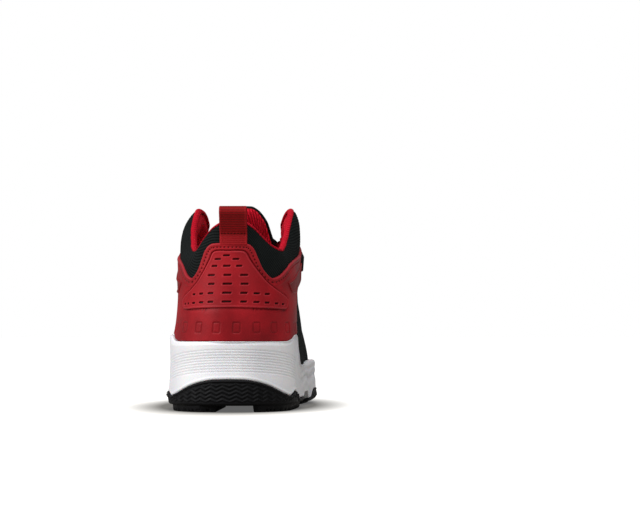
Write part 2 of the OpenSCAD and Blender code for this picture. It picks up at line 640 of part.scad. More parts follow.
// Hairpin of webbing at the throat's edge, with the lace inside
module lace_loops(side) {
    color([0.07, 0.07, 0.08])
    for (i = [0 : lace_rows - 1]) {
        t = row_t(i);
        edge = over_throat(t, side * 0.98, overlay_t + 0.85);
        v = at_width(side, t, curve(throat_line, t));
        out = normal("over", t, side > 0 ? v : 180 - v);
        along = unit(over_throat(t + 1, side * 0.98, 0) - over_throat(t - 1, side * 0.98, 0));
        in = unit(cross(out, along)) * -side;
        hairpin = [
            [-5, 0], [3.6, 0], [5.3, 1], [5.9, 2.5], [5.3, 4.1], [3.6, 5.1], [-5, 5.1],
            [-5, 4.2], [3.3, 4.2], [4.9, 2.5], [3.3, 0.9], [-5, 0.9]
        ];
        hairpin_faces(edge, along, in, out, hairpin);
    }
}
module hairpin_faces(edge, along, in, out, outline) {
    n = len(outline);
    pts = [for (u = [-lace_loop_w / 2, lace_loop_w / 2], q = outline) to_frame(edge + u * along + q.x * in + q.y * out)];
    caps = [
        [0, 1, 11], [1, 10, 11], [1, 2, 10], [2, 9, 10], [2, 3, 9],
        [3, 4, 9], [4, 8, 9], [4, 5, 8], [5, 6, 8], [6, 7, 8]
    ];
    turned = cross(in, out) * along > 0;
    faces = [
        for (c = caps) c,
        for (c = caps) [c[0] + n, c[2] + n, c[1] + n],
        for (j = [0 : n - 1]) let (b = (j + 1) % n) each quad(j, j + n, b + n, b)
    ];
    polyhedron(pts, [for (f = faces) turned ? f : [f[2], f[1], f[0]]]);
}

// ---- pull tab ----
loop_r = 2.7;         // radius inside the loop's top
loop_back = 3.7;      // how far the loop leans back from the collar
// Side outline of the loop: a teardrop on a round foot, in depth and height from the sewn line
function teardrop(grow) =
    let (
        top = loop_top - loop_pivot_z - webbing_t,
        r = loop_r + grow,
        foot = max(grow, 0.02)
    )
    [
        for (q = [200 : 20 : 340]) [foot * cos(q), foot * sin(q)],
        for (q = [-10 : 20 : 190]) [r * cos(q) - loop_back, top - loop_r + r * sin(q)]
    ];
module pull_loop() {
    color([0.6, 0.06, 0.1])
    translate([centre_x + loop_x - loop_w / 2, loop_pivot_y - sole_len / 2, loop_pivot_z])
    rotate([90, 0, 90])
    linear_extrude(loop_w)
    difference() {
        polygon(teardrop(webbing_t));
        polygon([for (q = teardrop(0)) q.y > 2.2 ? q : [0, 2.2]]);
    }
}
tab_low = 113.9;      // height of the tab's lower end, at the overlay's edge
module pull_tab_base() {
    base_top = loop_pivot_z - webbing_t - 0.25;
    half = loop_w / 2;
    rows = 3;
    pts = [
        for (off = [2 * webbing_t + 0.2, 0.7], i = [0 : 6], j = [0 : rows])
            let (s = loop_x - 1.7 + mix(-half, half, i / 6), z = mix(tab_low, base_top, j / rows))
            to_frame(lifted("wrap", s, up_wrap(s, z), off))
    ];
    color([0.75, 0.1, 0.14]) polyhedron(pts, grid_faces(6, rows));
}

// ---- tongue ----
module tongue_layer(outer, inner, trim) {
    edge = function (side) function (t) at_width(side, t, curve(tongue_line, t) - trim);
    layer("over", tongue_top + trim / 2, tongue_seam, 14, 10,
        edge(medial), function (t) 180 - edge(lateral)(t), flat(outer), flat(inner));
}
tongue_out = -(2 * textile_t + overlay_t + 4 * clear + 0.35 + 0.6);
module tongue_shell() {
    color([0.12, 0.12, 0.13]) tongue_layer(tongue_out, tongue_out - 1, 0);
}
module tongue_foam() {
    color([0.9, 0.8, 0.4]) tongue_layer(tongue_out - 1 - clear, tongue_out - 1 - clear - tongue_foam_t, 2);
}
module tongue_lining() {
    inner_face = tongue_out - 1 - 2 * clear - tongue_foam_t;
    color([0.84, 0.1, 0.2]) tongue_layer(inner_face, inner_face - 1, 0);
}

outsole_heel();
outsole_forefoot();
shank_plate();
midsole();
strobel_board();
heel_cushion();
sockliner();
vamp();
vamp_lining();
toe_puff();
toe_cap();
quarter(lateral);  // quarter_lateral
quarter(medial);  // quarter_medial
heel_counter();
collar_foam();
collar_lining();
collar_binding();
heel_overlay();
heel_panel();
eyestay(lateral);  // eyestay_lateral
eyestay(medial);  // eyestay_medial
side_band(lateral);  // side_band_lateral
side_band(medial);  // side_band_medial
lace_strap(lateral);  // lace_strap_lateral
lace_strap(medial);  // lace_strap_medial
lace_loops(lateral);  // lace_loops_lateral
lace_loops(medial);  // lace_loops_medial
lace();
lace_tips();
pull_tab_base();
pull_loop();
tongue_shell();
tongue_foam();
tongue_lining();
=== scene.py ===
"""Looks of a left basketball high top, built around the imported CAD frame.

Lengths inside are millimetres in the heel frame of the part: x to the big-toe side, t from the heel's rear
towards the toe, z up. place() turns them into the row frame in metres.
"""
import math

import bpy
import numpy as np
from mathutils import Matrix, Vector


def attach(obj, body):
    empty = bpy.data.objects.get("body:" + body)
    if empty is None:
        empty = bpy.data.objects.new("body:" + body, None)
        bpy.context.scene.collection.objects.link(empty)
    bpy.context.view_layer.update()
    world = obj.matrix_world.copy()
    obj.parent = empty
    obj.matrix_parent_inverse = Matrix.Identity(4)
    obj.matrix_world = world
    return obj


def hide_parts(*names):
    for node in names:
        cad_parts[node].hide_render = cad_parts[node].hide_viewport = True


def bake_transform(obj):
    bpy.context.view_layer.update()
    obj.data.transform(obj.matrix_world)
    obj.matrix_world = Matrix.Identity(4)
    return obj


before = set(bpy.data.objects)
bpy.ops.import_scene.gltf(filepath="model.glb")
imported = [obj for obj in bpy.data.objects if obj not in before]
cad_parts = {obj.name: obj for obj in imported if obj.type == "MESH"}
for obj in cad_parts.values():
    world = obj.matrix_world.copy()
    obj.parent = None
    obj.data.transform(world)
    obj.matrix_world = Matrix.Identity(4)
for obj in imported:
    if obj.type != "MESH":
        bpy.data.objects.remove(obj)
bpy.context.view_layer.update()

# ---------------------------------------------------------------- the shoe's driving shape
SOLE_LEN, SOLE_HEEL_ROUND, SOLE_TOE_ROUND = 300.0, 52.0, 80.0
UPPER_END, UPPER_TOE_ROUND, RIDGE_TOE_ROUND = 292.0, 70.0, 42.0
HEEL_DEPTH, HEEL_ARC = 50.0, 70.4
END_POWER = 2.2
POWER = 2 / 2.4
ANKLE_LEAN, ROLL_H = 3.7, 26.0
TEXTILE, OVERLAY, CLEAR, PAD = 1.2, 1.5, 0.2, 6.0
HEEL_PAD, FORE_PAD, RUBBER, TOE_SPRING = 4.4, 2.0, 2.6, 12.0
HEEL_END, FORE_START, ARCH_Z, PAD_SUNK = 112.0, 163.0, 10.0, 0.6
THROAT_FROM, TONGUE_SEAM, TONGUE_TOP = 140.0, 214.0, 138.0
WRAP_END = HEEL_ARC + TONGUE_SEAM - 1 - HEEL_DEPTH
EAR_ARC = HEEL_ARC + THROAT_FROM - HEEL_DEPTH
OVERLAY_END, PANEL_END, CAP_START = 104.0, 46.0, 266
OVERLAY_SKEW, PANEL_SKEW, PANEL_REACH, RIM_RISE = 2.0, 2.4, 1.08, 4.5
LACE_ROWS, LACE_W, LACE_T, LACE_LOOP_W = 5, 6.0, 1.3, 3.8
LOOP_W, LOOP_TOP, LOOP_PIVOT_Y, LOOP_PIVOT_Z, WEBBING = 18.5, 138.0, 5.6, 121.0, 1.1
LOOP_X, LOOP_R, LOOP_BACK = 2.2, 2.7, 3.7
SHIFT = np.array([2.5, -SOLE_LEN / 2, 0.0])
MM = 0.001

SOLE_MEDIAL = [(50, 43.6), (80, 45.5), (110, 46.5), (140, 47), (170, 48.5), (200, 50.5), (225, 50.5),
               (255, 46.5), (300, 38)]
SOLE_LATERAL = [(50, 45.1), (80, 47.2), (110, 48.3), (140, 49.8), (170, 53), (200, 56.5), (225, 57.5),
                (255, 54.5), (300, 46)]
UPPER_MEDIAL = [(50, 41), (80, 42.5), (110, 43.5), (140, 43.5), (170, 43.7), (200, 45.2), (225, 44.8),
                (250, 41.5), (292, 34)]
UPPER_LATERAL = [(50, 41), (80, 42), (110, 43), (140, 44), (170, 47.5), (200, 52), (225, 53),
                 (250, 49.5), (292, 42)]
BED_LINE = [(0, 30), (60, 29.5), (110, 27), (150, 23.5), (200, 20), (250, 20.5), (292, 26)]
RIDGE_LINE = [(50, 390), (80, 290), (100, 222), (115, 169), (135, 128.5), (160, 98.5), (190, 75), (215, 60),
              (240, 49), (265, 42), (292, 40)]
WAIST_LINE = [(40, 1.01), (50, 0.99), (62, 0.955), (80, 0.935), (95, 0.955), (105, 0.985), (120, 1.03),
              (145, 1.04)]
LEAN_LINE = [(46, 0.1), (56, 0.32), (80, 0.46), (105, 0.34), (113, 0.4), (121, 0.48), (127, 0.6), (138, 1)]
ROLL_LATERAL = [(4, 0), (20, 0.19), (45, 0.24), (75, 0.19), (110, 0.13), (122, 0.11), (145, 0)]
ROLL_MEDIAL = [(15, 0), (41, 0.15), (110, 0.13), (122, 0.11), (145, 0)]
REAR_LINE = [(40, 3), (60, 2), (75, 3), (90, 5), (105, 7.2), (118, 7.8), (127, 6.8), (140, 6)]
TOE_SHIFT = [(190, 0), (230, 1.5), (300, 7)]
BITE_LINE = [(0, 47), (46, 47), (53, 48.2), (60, 51), (74, 51.2), (80, 48), (87, 38), (94, 32.5), (104, 30.5),
             (125, 30), (150, 30), (190, 31.2), (225, 32.5), (260, 31.5), (320, 35)]
COLLAR_LINE = [(0, 127), (7, 127), (11.5, 125), (15.5, 122.7), (20, 119), (25, 115.2), (31, 111.5),
               (40, 109), (55, 109.5), (80, 119), (105, 135.5), (118, 139.8), (126, 140.3), (134, 139.3),
               (142, 136.5), (150, 132.5), (160, 127)]
OVERLAY_LINE = [(0, 113.4), (10, 113.4), (14.4, 112.5), (18.4, 109), (21.8, 103), (25.5, 96.5),
                (30.7, 91.5), (34.5, 90), (41, 91.8), (49, 96), (60, 100.5), (86, 105), (115, 110),
                (135, 115), (152, 122)]
OVERLAY_LOW = [(0, 47.3), (46, 47.3), (53, 48.5), (60, 51.3), (70, 51.8), (75, 54), (79, 62), (83, 71.5),
               (87, 77.5), (92, 81.5), (98, 84.5), (104, 87)]
PANEL_TOP = [(0, 108), (9, 108), (12, 106.5), (14.5, 102), (18, 97), (22.5, 91.5), (27, 87), (33, 83),
             (39, 79.8), (43, 78), (46, 75.5)]
PANEL_LOW = [(0, 69.7), (30, 69.2), (41, 68.8), (44, 69.8), (46, 72.5)]
EYESTAY_LOW = [(104, 87), (130, 89), (155, 93), (175, 92), (190, 84), (210, 71), (234, 61)]
THROAT_LINE = [(140, 30), (150, 24.5), (170, 18), (195, 13.5), (214, 10)]
TONGUE_LINE = [(138, 5), (139, 11), (142, 20), (146, 26), (153, 28.5), (170, 26.5), (190, 21), (214, 16)]
ARCH_LINE = [(0, 22), (12, 21.4), (25, 18.4), (38, 13.6), (47, 10.9), (52, 10.7), (58, 12.8), (62, 13.6),
             (68, 11.5), (80, 8.5), (95, 7.2)]
STRAP_LINE = [(123, 96.5), (140, 100), (163, 109)]
BAND_TOP = [(50, 87.6), (86, 96), (120, 103)]
BAND_LOW = [(50, 86.4), (58, 80.4), (86, 84), (120, 90)]


def curve(points, t):
    """Smooth line through a few points."""
    p = np.asarray(points, float)
    x, y = p[:, 0], p[:, 1]
    k = np.arange(len(x))
    before, after = np.maximum(k - 1, 0), np.minimum(k + 1, len(x) - 1)
    m = (y[after] - y[before]) / (x[after] - x[before])
    t = np.asarray(t, float)
    i = np.clip(np.searchsorted(x, t, "right") - 1, 0, len(x) - 2)
    h = x[i + 1] - x[i]
    u = np.clip((t - x[i]) / h, 0, 1)
    return ((2 * u**3 - 3 * u**2 + 1) * y[i] + (u**3 - 2 * u**2 + u) * m[i] * h
            + (3 * u**2 - 2 * u**3) * y[i + 1] + (u**3 - u**2) * m[i + 1] * h)


def smooth(a, b, t):
    u = np.clip((np.asarray(t, float) - a) / (b - a), 0, 1)
    return u * u * (3 - 2 * u)


def mix(a, b, u):
    return a + (b - a) * u


def unit(v):
    return v / np.linalg.norm(v, axis=-1, keepdims=True)


def closing(depth, rounding, power=END_POWER):
    d = np.clip(np.asarray(depth, float) / rounding, 0, 1)
    return (1 - (1 - d) ** power) ** (1 / power)


def bed(t):
    return curve(BED_LINE, t)


def ridge(t):
    return curve(RIDGE_LINE, t) * closing(UPPER_END - t, RIDGE_TOE_ROUND)


def upper_half(side, t):
    half = np.where(np.asarray(side) > 0, curve(UPPER_MEDIAL, t), curve(UPPER_LATERAL, t))
    return half * closing(UPPER_END - t, UPPER_TOE_ROUND)


def lean(z, t):
    return ANKLE_LEAN * curve(LEAN_LINE, z) * (1 - smooth(150, 200, t))


def collar_roll(side, z, t):
    """Share by which the collar leans in towards its edge."""
    up = np.clip((z - curve(COLLAR_LINE, arc_at(t))) / ROLL_H + 1, 0, 1.1)
    return np.where(np.asarray(side) > 0, curve(ROLL_MEDIAL, t), curve(ROLL_LATERAL, t)) * up**2


def skin(side, rounding, t, phi):
    side, rounding, t, phi = np.broadcast_arrays(side, rounding, np.asarray(t, float), phi)
    r = np.radians(np.clip(phi, 0, 90))
    z = bed(t) + ridge(t) * np.sin(r) ** POWER
    waist = mix(curve(WAIST_LINE, z), 1, smooth(130, 180, t)) * (1 - collar_roll(side, z, t))
    out = rounding * upper_half(side, t) * waist * np.maximum(np.cos(r), 0) ** POWER
    x = side * out + lean(z, t) + curve(TOE_SHIFT, t)
    return np.stack([x, t + curve(REAR_LINE, z) * np.maximum(1 - t / HEEL_DEPTH, 0), z], -1)


def turn(s):
    return np.minimum(np.abs(s) / HEEL_ARC, 1) * np.pi / 2


def depth_of(s):
    return HEEL_DEPTH * (1 - np.cos(turn(s))) + np.maximum(np.abs(s) - HEEL_ARC, 0)


def wrap(s, phi):
    return skin(np.where(np.asarray(s) < 0, -1, 1), np.sin(turn(s)), depth_of(s), phi)


def over(t, phi):
    phi = np.asarray(phi, float)
    return skin(np.where(phi <= 90, 1, -1), 1.0, t, np.where(phi <= 90, phi, 180 - phi))


def normals(on, u, v, step=0.5):
    across = on(u + step, v) - on(u - step, v)
    up = on(u, np.minimum(v + step, 179.9)) - on(u, np.maximum(v - step, 0.1))
    return unit(np.cross(across, up))


def at_height(t, z):
    share = np.clip((z - bed(t)) / ridge(t), 0.0001, 0.9999)
    return np.degrees(np.arcsin(share ** (1 / POWER)))


def at_width(side, t, x):
    share = np.minimum(x / upper_half(side, t), 0.9999)
    return np.degrees(np.arccos(np.maximum(share, 0) ** (1 / POWER)))


def up_wrap(s, z):
    return at_height(depth_of(s), z)


def collar_edge(s):
    """Angle up the cross-section of the collar's edge, and of the throat's edge in front of it."""
    s = np.asarray(s, float)
    t = depth_of(s)
    side = np.where(s < 0, -1, 1)
    start = skin(1, 1.0, THROAT_FROM, at_width(1, THROAT_FROM, THROAT_LINE[0][1]))[2]
    behind = up_wrap(s, mix(curve(COLLAR_LINE, np.abs(s)), start, smooth(THROAT_FROM - 10, THROAT_FROM, t)))
    return np.where(t < THROAT_FROM, behind, at_width(side, t, curve(THROAT_LINE, t)))


def padding(s, z):
    top = curve(COLLAR_LINE, np.abs(s))
    u = np.clip((z - 62) / (top - 62), 0, 1)
    return PAD * np.sin(np.pi * u) ** 0.6 * (1 - smooth(96, 118, depth_of(s)))


def arc_at(t):
    t = np.maximum(t, 0)
    near = HEEL_ARC * np.degrees(np.arccos(np.clip(1 - t / HEEL_DEPTH, -1, 1))) / 90
    return np.where(t < HEEL_DEPTH, near, HEEL_ARC + t - HEEL_DEPTH)


def bite(t):
    return curve(BITE_LINE, arc_at(t))


def spring(t):
    return TOE_SPRING * np.maximum((t - 250) / (SOLE_LEN - 250), 0) ** 2


def midsole_low(t):
    heel = mix(HEEL_PAD + RUBBER, ARCH_Z, smooth(HEEL_END - 2, HEEL_END + 8, t))
    return mix(heel, FORE_PAD + RUBBER + spring(t), smooth(FORE_START - 8, FORE_START + 2, t)) + 0.05


def fore_rim(t):
    """Top of the forefoot rubber's rim."""
    return (FORE_PAD + spring(t) + RUBBER + 0.1
            + smooth(176, 200, t) * (1.8 + RIM_RISE * (1 - smooth(232, 280, t))))


def wall_edge(t):
    arch = np.maximum(curve(ARCH_LINE, arc_at(t)) + 0.1, midsole_low(t) + 1)
    front = np.maximum(midsole_low(t) + 0.3, fore_rim(t) + 0.15)
    return mix(arch, front, smooth(100, 130, t))


def place(p):
    return (np.asarray(p, float) + SHIFT) * MM


# ---------------------------------------------------------------- meshes
def make(name, verts, quads, polys=(), look=None, body="shoe", slot=None, replaces=(), surf=None,
         tone=None, sharp=42):
    """One object from points in the heel frame, with its surface coordinates and a tone mask kept on it."""
    mesh = bpy.data.meshes.new(name)
    points = place(np.asarray(verts, float).reshape(-1, 3))
    quads = np.asarray(quads, np.int32).reshape(-1, 4)
    loops = np.concatenate([quads.ravel()] + [np.asarray(p, np.int32) for p in polys])
    totals = np.concatenate([np.full(len(quads), 4), np.array([len(p) for p in polys], int)])
    mesh.vertices.add(len(points))
    mesh.vertices.foreach_set("co", points.astype(np.float32).ravel())
    mesh.loops.add(len(loops))
    mesh.loops.foreach_set("vertex_index", loops.astype(np.int32))
    mesh.polygons.add(len(totals))
    mesh.polygons.foreach_set("loop_start", np.concatenate([[0], np.cumsum(totals)[:-1]]).astype(np.int32))
    mesh.update(calc_edges=True)
    mesh.validate()
    mesh.polygons.foreach_set("use_smooth", np.ones(len(mesh.polygons), bool))
    mesh.set_sharp_from_angle(angle=math.radians(sharp))
    n = len(points)
    surf = points / MM if surf is None else np.asarray(surf, float).reshape(-1, 3)
    layer = mesh.attributes.new("surf", "FLOAT_VECTOR", "POINT")
    layer.data.foreach_set("vector", surf.astype(np.float32).ravel())
    tone = np.zeros(n) if tone is None else np.asarray(tone, float).ravel()
    layer = mesh.attributes.new("tone", "FLOAT", "POINT")
    layer.data.foreach_set("value", tone.astype(np.float32))
    obj = bpy.data.objects.new(name, mesh)
    bpy.context.scene.collection.objects.link(obj)
    mesh.materials.append(LOOKS[look])
    if body:
        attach(obj, body)
    if replaces:
        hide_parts(*replaces)
    return obj


def picked(count, keep):
    """Indices of that many rows out of count, evenly spread."""
    return np.linspace(0, count - 1, keep).round().astype(int)


def surf_grid(x, y, shape):
    """Surface coordinates spread over a grid."""
    return np.stack([np.broadcast_to(x, shape), np.broadcast_to(y, shape), np.zeros(shape)], -1)


def ring_quads(m, n):
    """Vertex numbers of m rings of n points, and the quads between the rings."""
    a = np.arange(m * n).reshape(m, n)
    b = np.roll(a, -1, axis=1)
    return a, np.stack([a[:-1], b[:-1], b[1:], a[1:]], -1).reshape(-1, 4)


def grid_quads(nu, nv, base=0, flip=False):
    i, j = np.meshgrid(np.arange(nu - 1), np.arange(nv - 1), indexing="ij")
    a = base + i * nv + j
    q = np.stack([a, a + nv, a + nv + 1, a + 1], -1).reshape(-1, 4)
    return q[:, ::-1] if flip else q


def strip_quads(a, b):
    """Quads between two lines of vertices of the same length."""
    return np.stack([a[:-1], b[:-1], b[1:], a[1:]], -1)


def shell(name, outer, inner, surf=None, tone=None, **say):
    """Closed sheet between an outer grid (nu, nv, 3) and a coarser inner grid (nu, ni, 3)."""
    nu, nv = outer.shape[:2]
    ni = inner.shape[1]
    base = nu * nv
    a = np.arange(base).reshape(nu, nv)
    b = base + np.arange(nu * ni).reshape(nu, ni)
    quads = np.concatenate([
        grid_quads(nu, nv), grid_quads(nu, ni, base, True),
        strip_quads(a[:, 0], b[:, 0]), strip_quads(b[:, -1], a[:, -1]),
    ])
    polys = [np.concatenate([a[0], b[0, ::-1]]), np.concatenate([a[-1, ::-1], b[-1]])]
    pick = picked(nv, ni)
    if surf is not None:
        surf = np.concatenate([surf.reshape(-1, 3), surf[:, pick].reshape(-1, 3)])
    if tone is not None:
        tone = np.concatenate([tone.ravel(), tone[:, pick].ravel()])
    verts = np.concatenate([outer.reshape(-1, 3), inner.reshape(-1, 3)])
    return make(name, verts, quads, polys, surf=surf, tone=tone, **say)


def rows_up(on, u, low, high, shares):
    """Angles at shares of the length up each column, that length, and the length from the low edge."""
    k = np.linspace(0, 1, 97)
    v = low[:, None] + (high - low)[:, None] * k
    steps = np.linalg.norm(np.diff(on(u[:, None], v), axis=1), axis=2)
    length = np.concatenate([np.zeros((len(u), 1)), np.cumsum(steps, axis=1)], axis=1)
    shares = np.broadcast_to(shares, (len(u), np.shape(shares)[-1]))
    total = length[:, -1]
    up = shares * total[:, None]
    grid = np.array([np.interp(up[i], length[i], v[i]) for i in range(len(u))])
    return grid, total, up


def grid_on(on, u, low, high, shares):
    """Points and normals of a grid, the length of each column, and the length up to each point."""
    v, total, up = rows_up(on, u, low, high, shares)
    return on(u[:, None], v), normals(on, u[:, None], v), total[:, None], up


def even_columns(on, u0, u1, edge, pitch):
    """Columns at an even pitch along an edge."""
    u = np.linspace(u0, u1, 4000)
    steps = np.linalg.norm(np.diff(on(u, edge(u)), axis=0), axis=1)
    length = np.concatenate([[0], np.cumsum(steps)])
    return np.interp(np.linspace(0, length[-1], int(length[-1] / pitch) + 1), length, u)


def nearest(points, line):
    """Distance to the closest point of a line, and the index of that point."""
    flat = points.reshape(-1, 3)
    best, where = np.empty(len(flat)), np.empty(len(flat), int)
    square = (line**2).sum(1)
    for a in range(0, len(flat), 8000):
        part = flat[a:a + 8000]
        d = (part**2).sum(1)[:, None] + square - 2 * part @ line.T
        where[a:a + 8000] = d.argmin(1)
        best[a:a + 8000] = np.sqrt(np.maximum(d.min(1), 0))
    return best.reshape(points.shape[:-1]), where.reshape(points.shape[:-1])


def rounded(distance, radius):
    """Quarter-round profile of an edge, 0 at the edge and 1 from radius inwards."""
    d = 1 - np.clip(distance / radius, 0, 1)
    return np.sqrt(np.maximum(1 - d * d, 0))


def bell(x, width):
    return np.exp(-((x / width) ** 2))


def round_box(x, y, half_x, half_y, radius):
    """Signed distance to a rounded box, below 0 inside."""
    qx, qy = np.abs(x) - half_x + radius, np.abs(y) - half_y + radius
    return np.hypot(np.maximum(qx, 0), np.maximum(qy, 0)) + np.minimum(np.maximum(qx, qy), 0) - radius


def line_length(points):
    return np.concatenate([[0], np.cumsum(np.linalg.norm(np.diff(points, axis=0), axis=1))])


# ---------------------------------------------------------------- materials
class Look:
    """A procedural material built step by step around one Principled shader."""

    def __init__(self, name, colour, rough, **sockets):
        self.mat = bpy.data.materials.new(name)
        self.mat.use_nodes = True
        self.tree = self.mat.node_tree
        self.shader = self.tree.nodes["Principled BSDF"]
        self.shader.inputs["Base Color"].default_value = (*colour, 1)
        self.shader.inputs["Roughness"].default_value = rough
        for key, value in sockets.items():
            self.shader.inputs[key.replace("_", " ")].default_value = value
        self.mat.diffuse_color = (*colour, 1)
        self.height = []

    def node(self, kind, inputs=(), **props):
        n = self.tree.nodes.new(kind)
        for key, value in props.items():
            setattr(n, key, value)
        for key, value in dict(inputs).items():
            self.put(value, n.inputs[key])
        return n

    def put(self, value, socket):
        if isinstance(value, bpy.types.NodeSocket):
            self.tree.links.new(value, socket)
        else:
            socket.default_value = value

    def math(self, op, a, b=0.0, clamp=False):
        return self.node("ShaderNodeMath", {0: a, 1: b}, operation=op, use_clamp=clamp).outputs[0]

    def surf(self):
        """Surface coordinates in mm: round or along the piece, and up or across it."""
        a = self.node("ShaderNodeAttribute", attribute_name="surf")
        s = self.node("ShaderNodeSeparateXYZ", {0: a.outputs["Vector"]})
        return s.outputs[0], s.outputs[1], a.outputs["Vector"]

    def tone(self):
        return self.node("ShaderNodeAttribute", attribute_name="tone").outputs["Fac"]

    def object_place(self):
        return self.node("ShaderNodeTexCoord").outputs["Object"]

    def noise(self, where, scale, detail=3.0, rough=0.55):
        return self.node("ShaderNodeTexNoise", {"Vector": where, "Scale": scale, "Detail": detail,
                                                "Roughness": rough}).outputs["Fac"]

    def cells(self, where, scale, feature="F1"):
        return self.node("ShaderNodeTexVoronoi", {"Vector": where, "Scale": scale},
                         feature=feature).outputs["Distance"]

    def ripple(self, x, pitch):
        """Sine of a coordinate in mm, from -1 to 1."""
        return self.math("SINE", self.math("MULTIPLY", x, 2 * math.pi / pitch))

    def slanted(self, x, y, degrees):
        a = math.radians(degrees)
        return self.math("ADD", self.math("MULTIPLY", x, math.cos(a)), self.math("MULTIPLY", y, math.sin(a)))

    def ramp(self, value, low, high, out_low=0.0, out_high=1.0):
        return self.node("ShaderNodeMapRange", {"Value": value, "From Min": low, "From Max": high,
                                                "To Min": out_low, "To Max": out_high}).outputs["Result"]

    def blend(self, share, a, b):
        a = (*a, 1) if isinstance(a, tuple) and len(a) == 3 else a
        b = (*b, 1) if isinstance(b, tuple) and len(b) == 3 else b
        n = self.node("ShaderNodeMix", data_type="RGBA")
        self.put(share, n.inputs["Factor"])
        self.put(a, n.inputs["A"])
        self.put(b, n.inputs["B"])
        return n.outputs["Result"]

    def raise_by(self, height, millimetres):
        """Adds a bump of that height in mm."""
        self.height.append((height, millimetres))

    def done(self, colour=None, rough=None):
        if colour is not None:
            self.tree.links.new(colour, self.shader.inputs["Base Color"])
        if rough is not None:
            self.tree.links.new(rough, self.shader.inputs["Roughness"])
        normal = None
        for height, size in self.height:
            n = self.node("ShaderNodeBump", {"Height": height, "Distance": size * MM, "Strength": 1.0})
            if normal is not None:
                self.tree.links.new(normal, n.inputs["Normal"])
            normal = n.outputs["Normal"]
        if normal is not None:
            self.tree.links.new(normal, self.shader.inputs["Normal"])
        return self.mat


def leather(name, colour, deep, highlight, rough=0.48):
    """Moulded synthetic leather: pebble grain, cloudy colour, painted edge highlights, painted shade in holes
    and grooves.
    """
    k = Look(name, colour, rough, Specular_IOR_Level=0.16)
    at = k.object_place()
    cloud = k.noise(at, 45.0, 4.0)
    grain = k.cells(at, 1300.0)
    fine = k.noise(at, 2600.0, 2.0)
    k.raise_by(grain, 0.05)
    k.raise_by(fine, 0.03)
    tint = k.blend(k.ramp(cloud, 0.35, 0.65), deep, colour)
    # grain pits darkened towards deep: painted shade
    tint = k.blend(k.ramp(grain, 0.0, 0.5, 0.25, 0.0), tint, deep)
    # negative tone paints a highlight on edges, ridges and lips; positive tone paints shade in holes and
    # grooves
    tint = k.blend(k.ramp(k.tone(), 0.0, -1.0), tint, highlight)
    tint = k.blend(k.ramp(k.tone(), 0.0, 1.0), tint, tuple(c * 0.12 for c in deep))
    return k.done(tint, k.ramp(cloud, 0.3, 0.7, rough - 0.06, rough + 0.08))


def knit(name, colour, valley, fuzz, rib, slant, pitch, course, deep=0.12, sheen=0.25):
    """Knitted or woven textile: ribs at a slant, stitches along them, a little fuzz."""
    k = Look(name, colour, 0.9, Sheen_Weight=0.2 * sheen, Sheen_Roughness=0.4, Specular_IOR_Level=0.06)
    k.shader.inputs["Sheen Tint"].default_value = (*fuzz, 1)
    x, y, where = k.surf()
    across, along = k.slanted(x, y, slant), k.slanted(x, y, slant + 90)
    ribs = k.ripple(across, rib)
    loops = k.math("MULTIPLY", k.ripple(across, pitch), k.ripple(along, course))
    height = k.math("ADD", k.math("MULTIPLY", ribs, 0.65), k.math("MULTIPLY", loops, 0.35))
    cloud = k.noise(where, 0.09, 3.0)
    lint = k.noise(where, 3.2, 3.0)
    k.raise_by(height, deep)
    k.raise_by(lint, 0.05)
    # colour darkens into the rib and stitch valleys: painted shade
    tint = k.blend(k.ramp(height, -0.7, 0.55), valley, colour)
    tint = k.blend(k.ramp(cloud, 0.35, 0.75, 0.0, 0.35), tint, valley)
    tint = k.blend(k.ramp(lint, 0.62, 0.8, 0.0, 0.3), tint, fuzz)
    tint = k.blend(k.ramp(k.tone(), 0.0, 1.0), tint, tuple(c * 0.2 for c in valley))
    return k.done(tint)


def webbing(name, colour, valley, fuzz, rib=1.3, rough=0.7):
    """Woven tape with ribs across it."""
    k = Look(name, colour, rough, Sheen_Weight=0.06, Specular_IOR_Level=0.15)
    k.shader.inputs["Sheen Tint"].default_value = (*fuzz, 1)
    x, y, where = k.surf()
    thread = k.math("MULTIPLY", k.ripple(x, 0.75), k.ripple(y, rib))
    k.raise_by(k.math("ADD", k.ripple(y, rib), k.math("MULTIPLY", thread, 0.5)), 0.06)
    k.raise_by(k.noise(where, 4.0, 3.0), 0.04)
    # colour darkens into the rib valleys: painted shade
    tint = k.blend(k.ramp(k.ripple(y, rib), -0.8, 0.7), valley, colour)
    tint = k.blend(k.ramp(k.noise(where, 2.5, 4.0), 0.5, 0.8, 0.0, 0.45), tint, valley)
    # positive tone: painted shade in stitch dents
    tint = k.blend(k.ramp(k.tone(), 0.0, 1.0), tint, tuple(c * 0.15 for c in valley))
    # negative tone: painted highlight along rounded edges and the raised selvage, and lighter tape below the
    # tab's stitches
    tint = k.blend(k.ramp(k.tone(), 0.0, -1.0), tint, fuzz)
    return k.done(tint)


